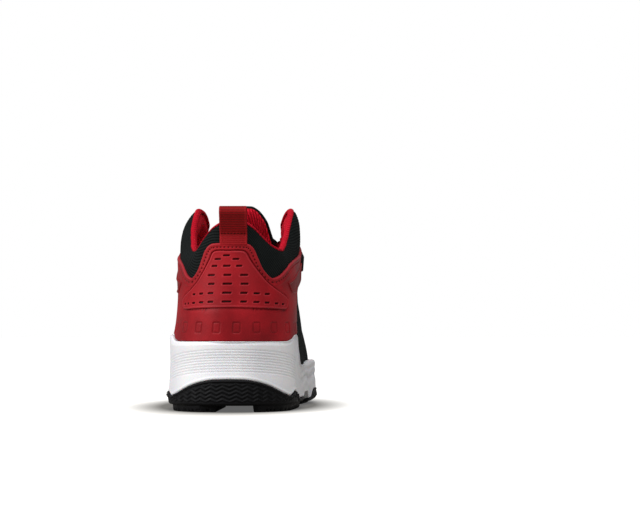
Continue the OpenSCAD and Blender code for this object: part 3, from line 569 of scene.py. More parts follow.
def moulded_foam(name):
    """White foam midsole: satin skin, faint pores, painted shade in the dimples, grooves and folds."""
    k = Look(name, (0.84, 0.84, 0.875), 0.55, Specular_IOR_Level=0.4, Subsurface_Weight=0.06,
             Subsurface_Scale=0.003)
    at = k.object_place()
    x, y, _ = k.surf()
    dots = k.math("MULTIPLY", k.ripple(x, 1.15), k.ripple(y, 1.15))
    middle = k.ramp(k.math("ABSOLUTE", x), 26.0, 44.0, 1.0, 0.0)
    band = k.math("MULTIPLY", k.ramp(y, 24.0, 28.0), k.ramp(y, 40.0, 43.0, 1.0, 0.0))
    dotted = k.math("MULTIPLY", k.ramp(dots, 0.35, 0.8), k.math("MULTIPLY", middle, band))
    k.raise_by(k.math("MULTIPLY", dotted, -1.0), 0.12)
    k.raise_by(k.noise(at, 900.0, 3.0), 0.025)
    tint = k.blend(k.ramp(k.noise(at, 30.0, 3.0), 0.3, 0.7), (0.80, 0.80, 0.85), (0.87, 0.87, 0.89))
    # recessed dimples darkened: painted shade
    tint = k.blend(k.math("MULTIPLY", dotted, 0.35), tint, (0.45, 0.45, 0.52))
    # tone darkens the grooves and folds: painted shade
    tint = k.blend(k.ramp(k.tone(), 0.0, 1.0, 0.0, 0.55), tint, (0.42, 0.42, 0.48))
    return k.done(tint, k.ramp(k.noise(at, 60.0, 2.0), 0.3, 0.7, 0.48, 0.62))


def rubber(name):
    """Black outsole rubber with a fine wavy tread, random lighter blotches, and lighter raised rims and lugs.
    """
    k = Look(name, (0.005, 0.005, 0.006), 0.55, Specular_IOR_Level=0.12)
    at = k.object_place()
    lighter = k.noise(at, 140.0, 4.0)
    k.raise_by(k.noise(at, 1500.0, 2.0), 0.04)
    k.raise_by(k.noise(at, 420.0, 2.0), 0.05)
    tint = k.blend(k.ramp(lighter, 0.5, 0.85, 0.0, 0.5), (0.004, 0.004, 0.005), (0.011, 0.011, 0.012))
    # negative tone: lighter along raised rims, lugs and blocks
    tint = k.blend(k.ramp(k.tone(), 0.0, -1.0), tint, (0.022, 0.022, 0.024))
    return k.done(tint, k.ramp(lighter, 0.35, 0.7, 0.5, 0.68))


def foam(name, colour, deep):
    """Open padding foam with pores."""
    k = Look(name, colour, 0.9, Specular_IOR_Level=0.2)
    at = k.object_place()
    pores = k.cells(at, 700.0)
    k.raise_by(pores, 0.2)
    # pores darkened: painted shade
    return k.done(k.blend(k.ramp(pores, 0.1, 0.6), deep, colour))


def plastic(name, colour, deep, rough):
    """Stiff sheet: fibre board, plate or lace tip."""
    k = Look(name, colour, rough)
    at = k.object_place()
    cloud = k.noise(at, 200.0, 3.0)
    k.raise_by(k.noise(at, 1800.0, 2.0), 0.02)
    tint = k.blend(k.ramp(cloud, 0.35, 0.7), deep, colour)
    return k.done(tint, k.ramp(cloud, 0.3, 0.7, rough, rough + 0.12))


RED, RED_DEEP, RED_HIGHLIGHT = (0.34, 0.006, 0.012), (0.22, 0.004, 0.008), (0.55, 0.05, 0.07)
LINING, LINING_DEEP, LINING_FUZZ = (1.0, 0.022, 0.055), (0.40, 0.003, 0.011), (0.95, 0.16, 0.20)
PIPING = (0.80, 0.011, 0.038)
TAB, TAB_DEEP, TAB_FUZZ_AND_HIGHLIGHT = (0.31, 0.002, 0.004), (0.09, 0.001, 0.001), (0.45, 0.012, 0.02)
BLACK, BLACK_DEEP, BLACK_FUZZ = (0.015, 0.018, 0.018), (0.003, 0.004, 0.004), (0.04, 0.052, 0.05)

LOOKS = {
    "red": leather("red_leather", RED, RED_DEEP, RED_HIGHLIGHT),
    "band": leather("band_leather", RED_DEEP, tuple(c * 0.7 for c in RED_DEEP), RED),
    "black_skin": leather("black_leather", (0.016, 0.016, 0.017), (0.008, 0.008, 0.009), (0.05, 0.05, 0.05)),
    "mesh": knit("black_mesh", BLACK, BLACK_DEEP, BLACK_FUZZ, 1.7, 62, 0.85, 1.1),
    "lining": knit("red_lining", LINING, LINING_DEEP, LINING_FUZZ, 2.2, 38, 0.78, 0.9, 0.5, 0.3),
    "piping": knit("red_piping", PIPING, LINING_DEEP, LINING_FUZZ, 2.2, 38, 0.78, 0.9, 0.45, 0.3),
    "tab": webbing("red_webbing", TAB, TAB_DEEP, TAB_FUZZ_AND_HIGHLIGHT),
    "strap": webbing("black_webbing", (0.010, 0.010, 0.011), (0.003, 0.003, 0.003), (0.03, 0.03, 0.03), 1.1),
    "lace": webbing("lace_weave", (0.014, 0.014, 0.015), (0.004, 0.004, 0.004), (0.04, 0.04, 0.04), 1.0, 0.8),
    "white": moulded_foam("white_foam"),
    "rubber": rubber("black_rubber"),
    "pad": foam("pad_foam", (0.80, 0.68, 0.32), (0.5, 0.4, 0.15)),
    "cushion": foam("cushion_foam", (0.80, 0.38, 0.08), (0.5, 0.2, 0.03)),
    "board": plastic("fibre_board", (0.72, 0.68, 0.58), (0.6, 0.56, 0.46), 0.85),
    "counter": plastic("counter_sheet", (0.72, 0.70, 0.64), (0.6, 0.58, 0.5), 0.7),
    "shank": plastic("shank_plate", (0.02, 0.02, 0.022), (0.012, 0.012, 0.013), 0.35),
    "tip": plastic("lace_tip", (0.02, 0.02, 0.02), (0.015, 0.015, 0.015), 0.2),
}
CAD_LOOKS = {"strobel_board": "board", "toe_puff": "counter", "heel_counter": "counter",
             "shank_plate": "shank", "lace_tips": "tip", "vamp_lining": "lining"}
for node_name, look_name in CAD_LOOKS.items():
    node_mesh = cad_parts[node_name].data
    node_mesh.materials.clear()
    node_mesh.materials.append(LOOKS[look_name])


# ---------------------------------------------------------------- heel overlay and panel
def on_edge(line, s):
    return up_wrap(s, curve(line, np.abs(s)))


def overlay_top(s):
    s = np.asarray(s, float)
    return curve(OVERLAY_LINE, np.abs(s + OVERLAY_SKEW * (1 - smooth(18, 60, np.abs(s)))))


def panel_place(s):
    return np.where(np.asarray(s) > 0, np.asarray(s, float) / PANEL_REACH, s)


def panel_top(s):
    u = panel_place(s)
    return curve(PANEL_TOP, np.abs(u + PANEL_SKEW * (1 - (u / PANEL_END) ** 2)))


def panel_low(s):
    return curve(PANEL_LOW, np.abs(panel_place(s)))


def surf_of(u, up):
    return surf_grid(u[:, None], up, up.shape)


def panel_outline():
    s = np.linspace(-PANEL_END, PANEL_END * PANEL_REACH, 500)
    end = np.linspace(0, 1, 20)[1:-1]
    top, low = panel_top(s), panel_low(s)
    lines = [wrap(s, up_wrap(s, top)), wrap(s, up_wrap(s, low))]
    for k in (0, -1):
        at = np.full(18, s[k])
        lines.append(wrap(at, up_wrap(at, mix(low[k], top[k], end))))
    return np.concatenate(lines)


def stitched(along, inset, rows, pitch, radius=0.42):
    """Depth mask of staggered rows of stitch holes along an edge."""
    holes = 0
    for k, row in enumerate(rows):
        at = (along / pitch + 0.5 * k) % 1 - 0.5
        from_hole = np.hypot(at * pitch * 0.8, inset - row)
        holes = np.maximum(holes, smooth(radius + 0.25, radius - 0.2, from_hole))
    return holes


def heel_overlay():
    def top(s):
        return up_wrap(s, overlay_top(s))

    s = even_columns(wrap, -OVERLAY_END, OVERLAY_END, top, 0.32)
    rise = np.gradient(overlay_top(s), s)
    low = on_edge(OVERLAY_LOW, s)
    _, total, _ = rows_up(wrap, s, low, top(s), np.linspace(0, 1, 5))
    flange = np.minimum(8.5 * np.hypot(1, rise) / total, 0.55)[:, None]
    band = np.minimum(15.5 / total, 0.36)[:, None]
    shares = np.concatenate([
        band * np.linspace(0, 1, 50),
        band + (1 - flange - band) * np.linspace(0, 1, 16)[1:-1],
        1 - flange * np.linspace(1, 0, 38) ** 1.25,
    ], axis=1)
    p, n, _, up = grid_on(wrap, s, low, top(s), shares)
    fine = np.linspace(-OVERLAY_END, OVERLAY_END, 1400)
    edge = wrap(fine, top(fine))
    inset, where = nearest(p, edge)
    along = line_length(edge)[where]
    z = p[..., 2]
    from_panel, _ = nearest(p, panel_outline())
    in_panel = ((np.abs(panel_place(s))[:, None] < PANEL_END) & (z < panel_top(s)[:, None])
                & (z > panel_low(s)[:, None]))
    gap = np.where(in_panel, -from_panel, from_panel)
    ends = OVERLAY_END - np.abs(s)[:, None]
    off = 0.15 + 2.0 * rounded(inset, 0.9) * rounded(up, 0.9) * rounded(ends, 0.6)
    off -= 0.75 * smooth(0.95, 0.35, gap)
    # a soft bead along the flange, stitch holes, and thread crossing between their rows
    off += 0.16 * bell(inset - 5.2, 0.55) * smooth(0.9, 1.4, gap) * smooth(70, 56, np.abs(s))[:, None]
    holes = stitched(along, inset, (3.0,), 2.5, 0.4)
    off += 0.12 * bell(inset - 1.5, 0.5) - 0.1 * bell(inset - 3.0, 0.5)
    off -= 0.6 * holes
    # rounded squares pressed into the lower band
    pitch, first = 14.6, 3.9
    around = (s[:, None] - first + pitch / 2) % pitch - pitch / 2
    square = round_box(around, z - 56.6, 2.7, 3.5, 1.1)
    off -= 0.42 * bell(square + 0.1, 0.5) + 0.16 * smooth(0.1, -0.6, square)
    # tone: painted shade in the stitch holes and the squares' grooves, a painted shadow under the panel's
    # edge, and a painted highlight along the rounded top edge
    tone = 0.9 * holes + 0.22 * bell(square + 0.1, 0.5) + 0.55 * bell(gap - 0.15, 0.35)
    tone -= 0.35 * bell(inset - 0.45, 0.5)
    surf = surf_of(s, up)
    pick = picked(p.shape[1], 8)
    inner = p[:, pick] + 0.08 * n[:, pick]
    shell("heel_overlay_skin", p + off[..., None] * n, inner, surf, np.clip(tone, -1, 1),
          look="red", slot="red_overlay", replaces=["heel_overlay"])


# Slots of the heel panel: height, how far the row droops at its ends, and (place round the heel, width)
SLOTS = [
    (104.8, 0.0, [(-3.7, 4.6)]),
    (102.3, 0.0, [(-10.0, 4.2), (3.0, 4.4)]),
    (97.6, 0.0, [(-12.7, 4.0), (-3.6, 5.2), (5.3, 4.2)]),
    (91.5, 0.1, [(-15.4, 5.2), (-3.3, 5.4), (8.8, 5.6)]),
    (85.6, 0.1, [(-15.6, 4.8), (-3.4, 6.6), (9.2, 5.6)]),
    (79.6, 1.4, [(-31.1, 2.6), (-24.2, 3.2), (-16.2, 4.2), (-3.8, 6.6), (8.7, 5.0), (18.3, 4.6),
                 (26.8, 4.2)]),
    (73.8, 1.4, [(-41.0, 1.6), (-37.1, 1.4), (-31.2, 2.6), (-24.0, 3.6), (-16.1, 4.2), (-3.9, 6.6),
                 (8.5, 4.6), (18.0, 4.4), (26.6, 3.8), (35.2, 3.2), (42.2, 2.6)]),
]


def heel_panel():
    s = np.linspace(-PANEL_END, PANEL_END * PANEL_REACH, 380)
    share = np.linspace(0, 1, 150)
    shares = share - 0.035 * np.sin(2 * np.pi * share)
    p, n, _, up = grid_on(wrap, s, up_wrap(s, panel_low(s)), up_wrap(s, panel_top(s)), shares)
    z = p[..., 2]
    inset, _ = nearest(p, panel_outline())
    off = OVERLAY + 0.35 + 0.95 * rounded(inset, 0.8) + 0.18 * bell(inset - 1.1, 0.5)
    hole = np.zeros(z.shape)
    lip = np.zeros(z.shape)
    for height, droop, places in SLOTS:
        for middle, width in places:
            dx = s[:, None] - middle
            dz = z - height + droop * min(abs(middle) / 42.0, 1) ** 2
            dx = dx - 0.35 * dz
            d = round_box(dx, dz, width / 2, 0.55, 0.35)
            hole = np.maximum(hole, smooth(0.28, -0.22, d))
            lip = np.maximum(lip, bell(d - 0.6, 0.45) * np.where(dz < 0, 1.0, 0.25))
    off -= 0.95 * hole
    off += 0.12 * lip
    # tone: painted shade in the slots and the groove at the panel's edge, painted highlights on the slot lips
    # and the ridge inside the edge
    tone = hole - 0.28 * lip * (1 - hole) - 0.30 * bell(inset - 0.9, 0.5)
    tone += 0.5 * bell(inset, 0.35)
    pick = picked(150, 8)
    inner = p[:, pick] + (OVERLAY + 0.25) * n[:, pick]
    shell("heel_panel_skin", p + off[..., None] * n, inner, surf_of(s, up), np.clip(tone, -1, 1),
          look="red", slot="red_overlay", replaces=["heel_panel"])


# ---------------------------------------------------------------- textile of the ankle and sides
def quarter(side, name, node):
    s = np.sort(np.linspace(0.15, WRAP_END, 300) * side)
    low = up_wrap(s, bed(depth_of(s)) - 0.2)
    high = collar_edge(s)
    _, total, _ = rows_up(wrap, s, low, high, np.linspace(0, 1, 5))
    near = np.minimum(36 / total, 0.6)[:, None]
    shares = np.concatenate([
        (1 - near) * np.linspace(0, 1, 30),
        1 - near * np.linspace(1, 0, 90)[1:],
    ], axis=1)
    p, n, total, up = grid_on(wrap, s, low, high, shares)
    below = total - up
    rib, rib_depth = 1.9, 34
    away = smooth(34, 58, np.abs(s))[:, None]
    ribs = 0.5 + 0.5 * np.cos(2 * np.pi * below / rib)
    ribs = ribs * away * smooth(0.5, 3, below) * smooth(rib_depth, 26, below)
    puff = 0.9 * bell(below - 9, 8) * smooth(175, 120, np.abs(s))[:, None]
    off = puff + 0.17 * ribs - 0.5 * bell(below, 1.6)
    pick = picked(p.shape[1], 24)
    inner = p[:, pick] - (TEXTILE - 0.1) * n[:, pick]
    surf = surf_of(s, up)
    surf[..., 1] = -below
    tone = 0.25 * (0.5 - 0.5 * np.cos(2 * np.pi * (below / rib + 0.5)))
    tone = tone * away * (below < rib_depth)
    shell(name, p + off[..., None] * n, inner, surf, tone, look="mesh", slot="black_mesh", replaces=[node])


def collar_inside():
    """Padded red lining: an even roll behind the collar's edge, easing into the foot space."""
    s = np.linspace(-WRAP_END, WRAP_END, 460)
    low = up_wrap(s, bed(depth_of(s)) + 1.4)
    high = collar_edge(s)
    share = np.linspace(0, 1, 70)
    p, n, total, up = grid_on(wrap, s, low, high, 1 - (1 - share) ** 1.25)
    z = p[..., 2]
    below = total - up
    outer_off = -(TEXTILE + OVERLAY + 3 * CLEAR + padding(s[:, None], z)) - 0.35
    ear = smooth(86, 112, np.abs(s)) * smooth(168, 150, np.abs(s))
    puff = 2.2 * bell(below - 9, 8.0) * ear[:, None]
    roll = 1.9 * bell(below, 3.0)
    inner_off = outer_off - TEXTILE - puff + roll
    surf = surf_of(s, up)
    surf[..., 1] = -below
    pick = picked(70, 24)
    back = p[:, pick] + outer_off[:, pick][..., None] * n[:, pick]
    face = p + inner_off[..., None] * n
    # the face looks into the foot, so the columns run the other way round
    shell("collar_lining_knit", face[::-1], back[::-1], surf[::-1], None, look="lining",
          slot="red_lining", replaces=["collar_lining"])


def sweep(name, rings, surf=None, tone=None, **say):
    """Closed tube through rings (m, n, 3)."""
    a, quads = ring_quads(*rings.shape[:2])
    return make(name, rings.reshape(-1, 3), quads, [a[0, ::-1], a[-1]], surf=surf, tone=tone, **say)


def collar_piping():
    """Soft roll sewn over the collar's edge, from the black mesh over to the lining."""
    s = np.linspace(-EAR_ARC - 4, EAR_ARC + 4, 420)
    v = collar_edge(s)
    p = wrap(s, v)
    up = unit(wrap(s, v + 0.5) - p)
    n = normals(wrap, s, v)
    q = np.linspace(0, 2 * np.pi, 28, endpoint=False)
    end = rounded(EAR_ARC + 4 - np.abs(s), 5.0)
    thick = (2.3 * end + 0.02)[:, None]
    tall = (mix(1.35, 1.8, smooth(44, 80, np.abs(s))) * end + 0.02)[:, None]
    x = -2.3 + thick * np.cos(q) * (1 - 0.12 * np.sin(q))
    y = 0.55 + tall * np.sin(q) * np.where(np.sin(q) > 0, 1.0, 0.75)
    rings = p[:, None] + x[..., None] * n[:, None] + y[..., None] * up[:, None]
    length = line_length(p)
    surf = surf_grid(length[:, None], q * 2.6, x.shape)
    sweep("collar_piping", rings[:, ::-1], surf[:, ::-1], None, look="piping", slot="red_lining",
          replaces=["collar_binding"])


def collar_padding():
    s = np.linspace(-112, 112, 160)
    rows = np.linspace(0, 1, 30)
    p, n, total, up = grid_on(wrap, s, up_wrap(s, 66.0), on_edge(COLLAR_LINE, s) - 1.0, rows)
    z = p[..., 2]
    lump = rounded(np.minimum(up, total - up), 5) * rounded(112 - np.abs(s), 8)[:, None]
    outer = -(TEXTILE + OVERLAY + 2 * CLEAR)
    deep = -(TEXTILE + OVERLAY + 3 * CLEAR + 0.85 * padding(s[:, None], z))
    mid = (outer + deep) / 2
    front = p + (mid + (outer - mid) * lump + 0.02)[..., None] * n
    back = p + (mid + (deep - mid) * lump - 0.02)[..., None] * n
    pad = shell("collar_pad", front, back, surf_of(s, up), None, look="pad", slot="pad_foam",
                replaces=["collar_foam"])


# ---------------------------------------------------------------- overlays further forward
def applied(name, node, u, low, high, outer, inner, look, slot, nv=24, radius=0.7, relief=None, stitch=None):
    """A skin applied over the textile round the heel, with rounded edges and stitches along them."""
    share = np.linspace(0, 1, nv)
    p, n, _, up = grid_on(wrap, u, low(u), high(u), share - 0.06 * np.sin(2 * np.pi * share))
    fine = np.linspace(u[0], u[-1], 900)
    sides = [wrap(fine, high(fine)), wrap(fine, low(fine))]
    d_high, at_high = nearest(p, sides[0])
    d_low, at_low = nearest(p, sides[1])
    ends = np.minimum(np.abs(u - u[0]), np.abs(u[-1] - u))[:, None]
    inset = np.minimum(np.minimum(d_high, d_low), ends)
    off = inner + 0.1 + (outer - inner - 0.1) * rounded(inset, radius)
    # lighter tone along the rounded edges is a painted highlight; the stitch holes get painted shade
    tone = -0.3 * bell(inset - 0.4, 0.5)
    if stitch:
        for d, at, line in ((d_high, at_high, sides[0]), (d_low, at_low, sides[1])):
            holes = stitched(line_length(line)[at], d, stitch, 2.6, 0.36)
            off -= 0.5 * holes
            tone = np.maximum(tone, 0.9 * holes)
    if relief is not None:
        off += relief(inset)
    pick = picked(nv, 6)
    return shell(name, p + off[..., None] * n, p[:, pick] + inner * n[:, pick], surf_of(u, up), tone,
                 look=look, slot=slot, replaces=[node])


def side_pieces(side, word):
    start, end = OVERLAY_END + 0.4, WRAP_END

    def stay_high(s):
        return np.where(np.abs(s) < 152, np.minimum(on_edge(OVERLAY_LINE, s), collar_edge(s) - 1),
                        collar_edge(s) - 1)

    def ordered(a, b, count):
        return np.sort(np.linspace(a, b, count) * side)

    applied(f"eyestay_skin_{word}", f"eyestay_{word}", ordered(start, end, 330),
            lambda s: on_edge(EYESTAY_LOW, s), stay_high, OVERLAY + 0.35, 0.1, "red", "red_overlay", 70,
            stitch=(1.8,))
    applied(f"side_band_skin_{word}", f"side_band_{word}", ordered(50, 120, 200),
            lambda s: on_edge(BAND_LOW, s), lambda s: on_edge(BAND_TOP, s), OVERLAY + 1.35, OVERLAY + 0.4,
            "band", "red_overlay", 50, 0.6,
            relief=lambda d: -0.45 * smooth(1.3, 2.2, d) + 0.12 * bell(d - 1.2, 0.4))
    applied(f"lace_strap_tape_{word}", f"lace_strap_{word}", ordered(123, 163, 90),
            lambda s: on_edge(STRAP_LINE, s), lambda s: up_wrap(s, curve(STRAP_LINE, np.abs(s)) + 11.5),
            OVERLAY + 2.6, OVERLAY + 0.4, "strap", "black_webbing", 30, 1.1, stitch=(1.6,))


# ---------------------------------------------------------------- toe
def dome(name, node, t0, t1, low_z, outer, inner, look, slot, nu=120, nv=160, relief=None):
    t = np.linspace(t0, t1, nu)
    low = np.maximum(at_height(t, low_z(t)), 1.0)
    p, n, total, up = grid_on(over, t, low, 180 - low, np.linspace(0, 1, nv))
    side = np.minimum(up, total - up)
    inset = np.minimum(side, (t - t0)[:, None])
    off = inner + 0.05 + (outer - inner - 0.05) * rounded(inset, 0.8)
    surf = surf_of(t, up)
    # lighter tone along the rounded edges: painted highlight
    tone = -0.3 * bell(inset - 0.4, 0.5)
    if relief is not None:
        extra, dark = relief(t[:, None], up - total / 2)
        off = off + extra
        tone = tone + dark
    pick = picked(nv, 30)
    shell(name, p + off[..., None] * n, p[:, pick] + inner * n[:, pick], surf, np.clip(tone, -1, 1),
          look=look, slot=slot, replaces=[node])


def vamp_holes(t, across):
    """Staggered rows of small breathing holes across the toe, as a depth and a painted-shade tone."""
    pitch = 5.2
    row = (t - 220) / pitch
    at = np.abs(row - np.round(row)) * pitch
    column = across / pitch + 0.5 * (np.round(row) % 2)
    near = np.abs(column - np.round(column)) * pitch
    inside = smooth(32, 26, np.abs(across) + 0.35 * np.maximum(t - 240, 0))
    inside = inside * smooth(222, 226, t) * smooth(262, 258, t)
    hole = smooth(0.95, 0.5, np.hypot(at, near)) * inside
    return -0.45 * hole, 0.9 * hole


def cap_stitch(t, across):
    """Two rows of stitches along the rear edge of the toe cap, as a depth and a painted-shade tone."""
    hole = stitched(across, t - CAP_START, (1.9, 3.4), 2.6, 0.36)
    return -0.35 * hole, 0.8 * hole


# ---------------------------------------------------------------- sole
def sole_half(side, t):
    half = np.where(np.asarray(side) > 0, curve(SOLE_MEDIAL, t), curve(SOLE_LATERAL, t))
    return half * closing(t, SOLE_HEEL_ROUND) * closing(SOLE_LEN - t, SOLE_TOE_ROUND)


def ring_grid(t0, t1, n):
    i = np.arange(n)
    return mix(t0, t1, (1 - np.cos(2 * np.pi * i / n)) / 2), np.where(i <= n // 2, 1, -1)


def sole_ring(t0, t1, n):
    t, side = ring_grid(t0, t1, n)
    cut = (closing(t - t0, 12, 3) if t0 > 0 else 1) * (closing(t1 - t, 12, 3) if t1 < SOLE_LEN else 1)
    return np.stack([side * cut * sole_half(side, t) + curve(TOE_SHIFT, t), t, 0 * t], -1)


def upper_ring(t1, height, n):
    t, side = ring_grid(0, t1, n)
    end = np.maximum(1 - t / HEEL_DEPTH, 0)
    cut = closing(t1 - t, 12, 3) if t1 < UPPER_END else 1
    return skin(side, cut * np.sqrt(1 - end * end), t, at_height(t, height(t)))


def outward(ring):
    v = np.roll(ring, -1, axis=0) - np.roll(ring, 1, axis=0)
    return unit(np.stack([v[:, 1], -v[:, 0], 0 * v[:, 0]], -1))


def spread(ring, d):
    return ring + np.asarray(d, float).reshape(-1, 1) * outward(ring)


def raised(ring, z):
    out = np.array(ring)
    out[:, 2] = z
    return out


def stack(name, rings, surf=None, tone=None, **say):
    """Closed solid through rings round the foot, from the underside up."""
    rings = np.asarray(rings)
    m, n = rings.shape[:2]
    a, quads = ring_quads(m, n)

    def cap(row, up):
        faces = []
        for i in range(1, n // 2 - 1):
            f = [row[i], row[i + 1], row[n - i - 1], row[n - i]]
            faces.append(f if up else f[::-1])
        tips = [[row[0], row[1], row[n - 1]], [row[n // 2 - 1], row[n // 2], row[n // 2 + 1]]]
        return faces, [f if up else f[::-1] for f in tips]

    low, low_tips = cap(a[0], False)
    top, top_tips = cap(a[-1], True)
    quads = np.concatenate([quads, low, top])
    return make(name, rings.reshape(-1, 3), quads, low_tips + top_tips, surf=surf, tone=tone, **say)


def round_place(t, side):
    """Signed length round the foot from the heel's rear, + on the big-toe side."""
    return side * arc_at(t)


class Rings:
    """Rings round the foot with their surface coordinates and tones, added from the underside up."""

    def __init__(self, where):
        self.where = where
        self.rings, self.surf, self.tone = [], [], []

    def add(self, ring, dark=0.0):
        self.rings.append(ring)
        self.surf.append(np.stack([self.where, ring[:, 2], 0 * self.where], -1))
        self.tone.append(np.broadcast_to(dark, self.where.shape))

    def build(self, name, **say):
        stack(name, self.rings, np.array(self.surf), np.array(self.tone), **say)


def midsole():
    n = 900
    low = sole_ring(0, SOLE_LEN, n)
    t, side = ring_grid(0, SOLE_LEN, n)
    where = round_place(t, side)
    cup = spread(upper_ring(UPPER_END, bite, n), 1.2 * CLEAR)
    bed_in = spread(upper_ring(UPPER_END, lambda q: bed(q) - 0.5, n), CLEAR)
    lip = spread(cup, OVERLAY + 0.4)
    edge, top = wall_edge(t), bite(t)
    sole = Rings(where)
    sole.add(raised(spread(low, -2.4), midsole_low(t)))
    sole.add(raised(spread(low, -2.4), edge))
    sole.add(raised(spread(low, -0.9), edge))
    heel = smooth(108, 84, np.abs(where))
    front = smooth(95, 125, np.abs(where))
    for q in np.linspace(0, 1, 92):
        z = mix(edge, top, q)
        d = np.interp(q, [0, 0.02, 0.3, 0.55, 0.8, 0.93, 1], [-0.75, -0.2, -0.9, -1.25, -1.0, -0.85, -1.5])
        # grooves that arch over the heel in step with the rubber's edge
        level = z + np.where(where < 0, 7.5, 5.4) * (np.abs(where) / 62) ** 2
        k = (41.8 - level) / 1.82
        groove = np.where((k > -0.5) & (k < 8.5), 0.5 + 0.5 * np.cos(2 * np.pi * k), 0)
        groove = groove * heel * smooth(74, 60, np.abs(where)) * smooth(0.02, 0.08, q)
        rim = bell(z - edge - 1.5, 0.7) * heel
        # soft sweeping folds along the sides and forefoot
        sweep_line = 0.46 + 0.09 * np.sin((np.abs(where) - 95) / 55)
        fold = bell(q - sweep_line, 0.085) + 0.8 * bell(q - sweep_line - 0.27, 0.05)
        swell = bell(q - sweep_line - 0.14, 0.1) + bell(q - sweep_line + 0.2, 0.12)
        d = d - 0.18 * groove + 0.22 * rim + front * (0.35 * swell - 0.22 * fold)
        # tone darkens the grooves and folds: painted shade
        sole.add(raised(spread(low, d), z), np.clip(0.22 * groove + 0.3 * fold * front, 0, 1))
    wall_top = raised(spread(low, -1.5), top)
    for q in np.linspace(0, 1, 8)[1:]:
        ring = mix(wall_top, lip, q)
        ring[:, 2] = top + 0.45 * np.sin(np.pi * q)
        sole.add(ring)
    sole.add(raised(mix(lip, cup, 0.5), top + 0.1))
    sole.add(raised(cup, top - 0.2))
    for q in (0.3, 0.6, 0.85):
        sole.add(mix(raised(cup, top - 0.2), bed_in, q))
    sole.add(bed_in)
    sole.build("midsole_foam", look="white", slot="white_foam", replaces=["midsole"])


def herringbone(x, y, pitch, wave, swing):
    """Wavy chevron ridges, 0 to 1."""
    return 0.5 + 0.5 * np.sin(2 * np.pi * (y + swing * np.abs((x / wave) % 1 - 0.5) * 2) / pitch)


def heel_rubber():
    n = 760
    outer = sole_ring(0, HEEL_END, n)
    t, side = ring_grid(0, HEEL_END, n)
    where = round_place(t, side)
    top = np.maximum(curve(ARCH_LINE, arc_at(t)) - 0.1, HEEL_PAD + RUBBER + 0.2)
    sole = Rings(where)
    sole.add(raised(spread(outer, -2.6), HEEL_PAD))
    for q in np.linspace(0, 1, 8):
        a = np.pi / 2 * q
        sole.add(raised(spread(outer, -2.6 + 2.6 * np.sin(a)), HEEL_PAD + 1.8 * (1 - np.cos(a))))
    start = HEEL_PAD + 1.8
    for q in np.linspace(0, 1, 56)[1:]:
        z = mix(start, top, q)
        from_top = top - z
        waves = herringbone(where, z, 2.7, 7.2, 2.0) * smooth(0.6, 3.4, from_top) * smooth(0, 1.5, z - start)
        rim = smooth(1.5, 1.1, from_top) * smooth(0.0, 0.25, from_top + 0.05)
        line = bell(from_top - 2.2, 0.5)
        blocks = smooth(36, 44, np.abs(where)) * smooth(0.25, 0.4, np.abs((where / 6.2) % 1 - 0.5))
        blocks = blocks * smooth(8.6, 9.6, z) * smooth(13.2, 12.2, z)
        d = 0.55 * waves * (1 - 0.6 * smooth(44, 60, np.abs(where))) + 0.7 * rim - 0.35 * line
        d = d + 0.9 * blocks - 0.05
        # negative tone: lighter on the raised rim and blocks
        sole.add(raised(spread(outer, d), z), -np.clip(0.55 * rim + 0.25 * blocks, 0, 1))
    sole.add(raised(spread(outer, -0.3), top + 0.02))
    sole.add(raised(spread(outer, -1.9), top))
    sole.add(raised(spread(outer, -2.0), HEEL_PAD + RUBBER))
    sole.build("heel_rubber", look="rubber", slot="black_rubber", replaces=["outsole_heel"], sharp=50)


def forefoot_rubber():
    n = 620
    outer = sole_ring(FORE_START, SOLE_LEN, n)
    t, side = ring_grid(FORE_START, SOLE_LEN, n)
    where = round_place(t, side)
    lift = spring(t)
    sole = Rings(where)
    base, top = FORE_PAD + lift, fore_rim(t)
    sole.add(raised(spread(outer, -3.4), base))
    lugs = smooth(0.18, 0.3, np.abs((where / 9.0) % 1 - 0.5))
    for q in np.linspace(0, 1, 34):
        d = np.interp(q, [0, 0.16, 0.4, 1], [-3.0, -0.9, 0.1, 0.0]) + 0.6 * lugs * bell(q - 0.45, 0.3)
        rim = smooth(0.86, 0.92, q)
        # lighter on the raised lugs and top rim
        lighter = -0.4 * np.clip(lugs * q + rim, 0, 1)
        sole.add(raised(spread(outer, d + 0.35 * rim), mix(base, top, q)), lighter)
    sole.add(raised(spread(outer, -0.2), top + 0.02))
    sole.add(raised(spread(outer, -1.9), top))
    sole.add(raised(spread(outer, -2.0), base + RUBBER))
    sole.build("forefoot_rubber", look="rubber", slot="black_rubber", replaces=["outsole_forefoot"],
               sharp=50)


def tread(name, side, t0, t1, channel, inset, height):
    """Ground pad with a herringbone tread on its underside and cut edges."""
    t = np.linspace(t0, t1, 260)
    edge = sole_half(side, t) - inset
    share = np.linspace(0, 1, 110)
    x = side * mix(channel, np.maximum(edge, channel + 0.5)[:, None], share)
    width = np.abs(x[:, -1] - x[:, 0])[:, None]
    inset_by = np.minimum(np.minimum(share * width, (1 - share) * width),
                          np.minimum(t - t0, t1 - t)[:, None])
    cut = herringbone(x, t[:, None], 4.2, 15.0, 5.0)
    z = mix(height, 0.0, rounded(inset_by, 0.8) * (0.6 + 0.4 * smooth(0.28, 0.5, cut)))
    shift = curve(TOE_SHIFT, t)[:, None]
    low = np.stack([x + shift, np.broadcast_to(t[:, None], x.shape), z + 0 * x], -1)
    pick = picked(110, 8)
    top = low[:, pick].copy()
    top[..., 2] = height + PAD_SUNK
    if side > 0:
        low, top = low[::-1], top[::-1]
    surf = np.stack([low[..., 0], low[..., 1], 0 * low[..., 0]], -1)
    shell(name, low, top, surf, None, look="rubber", slot="black_rubber", sharp=35)


# ---------------------------------------------------------------- inside of the foot space
def cushion_rise(t):
    """How far the heel cushion lifts the insole."""
    return 3 * (1 - smooth(70, 96, t))


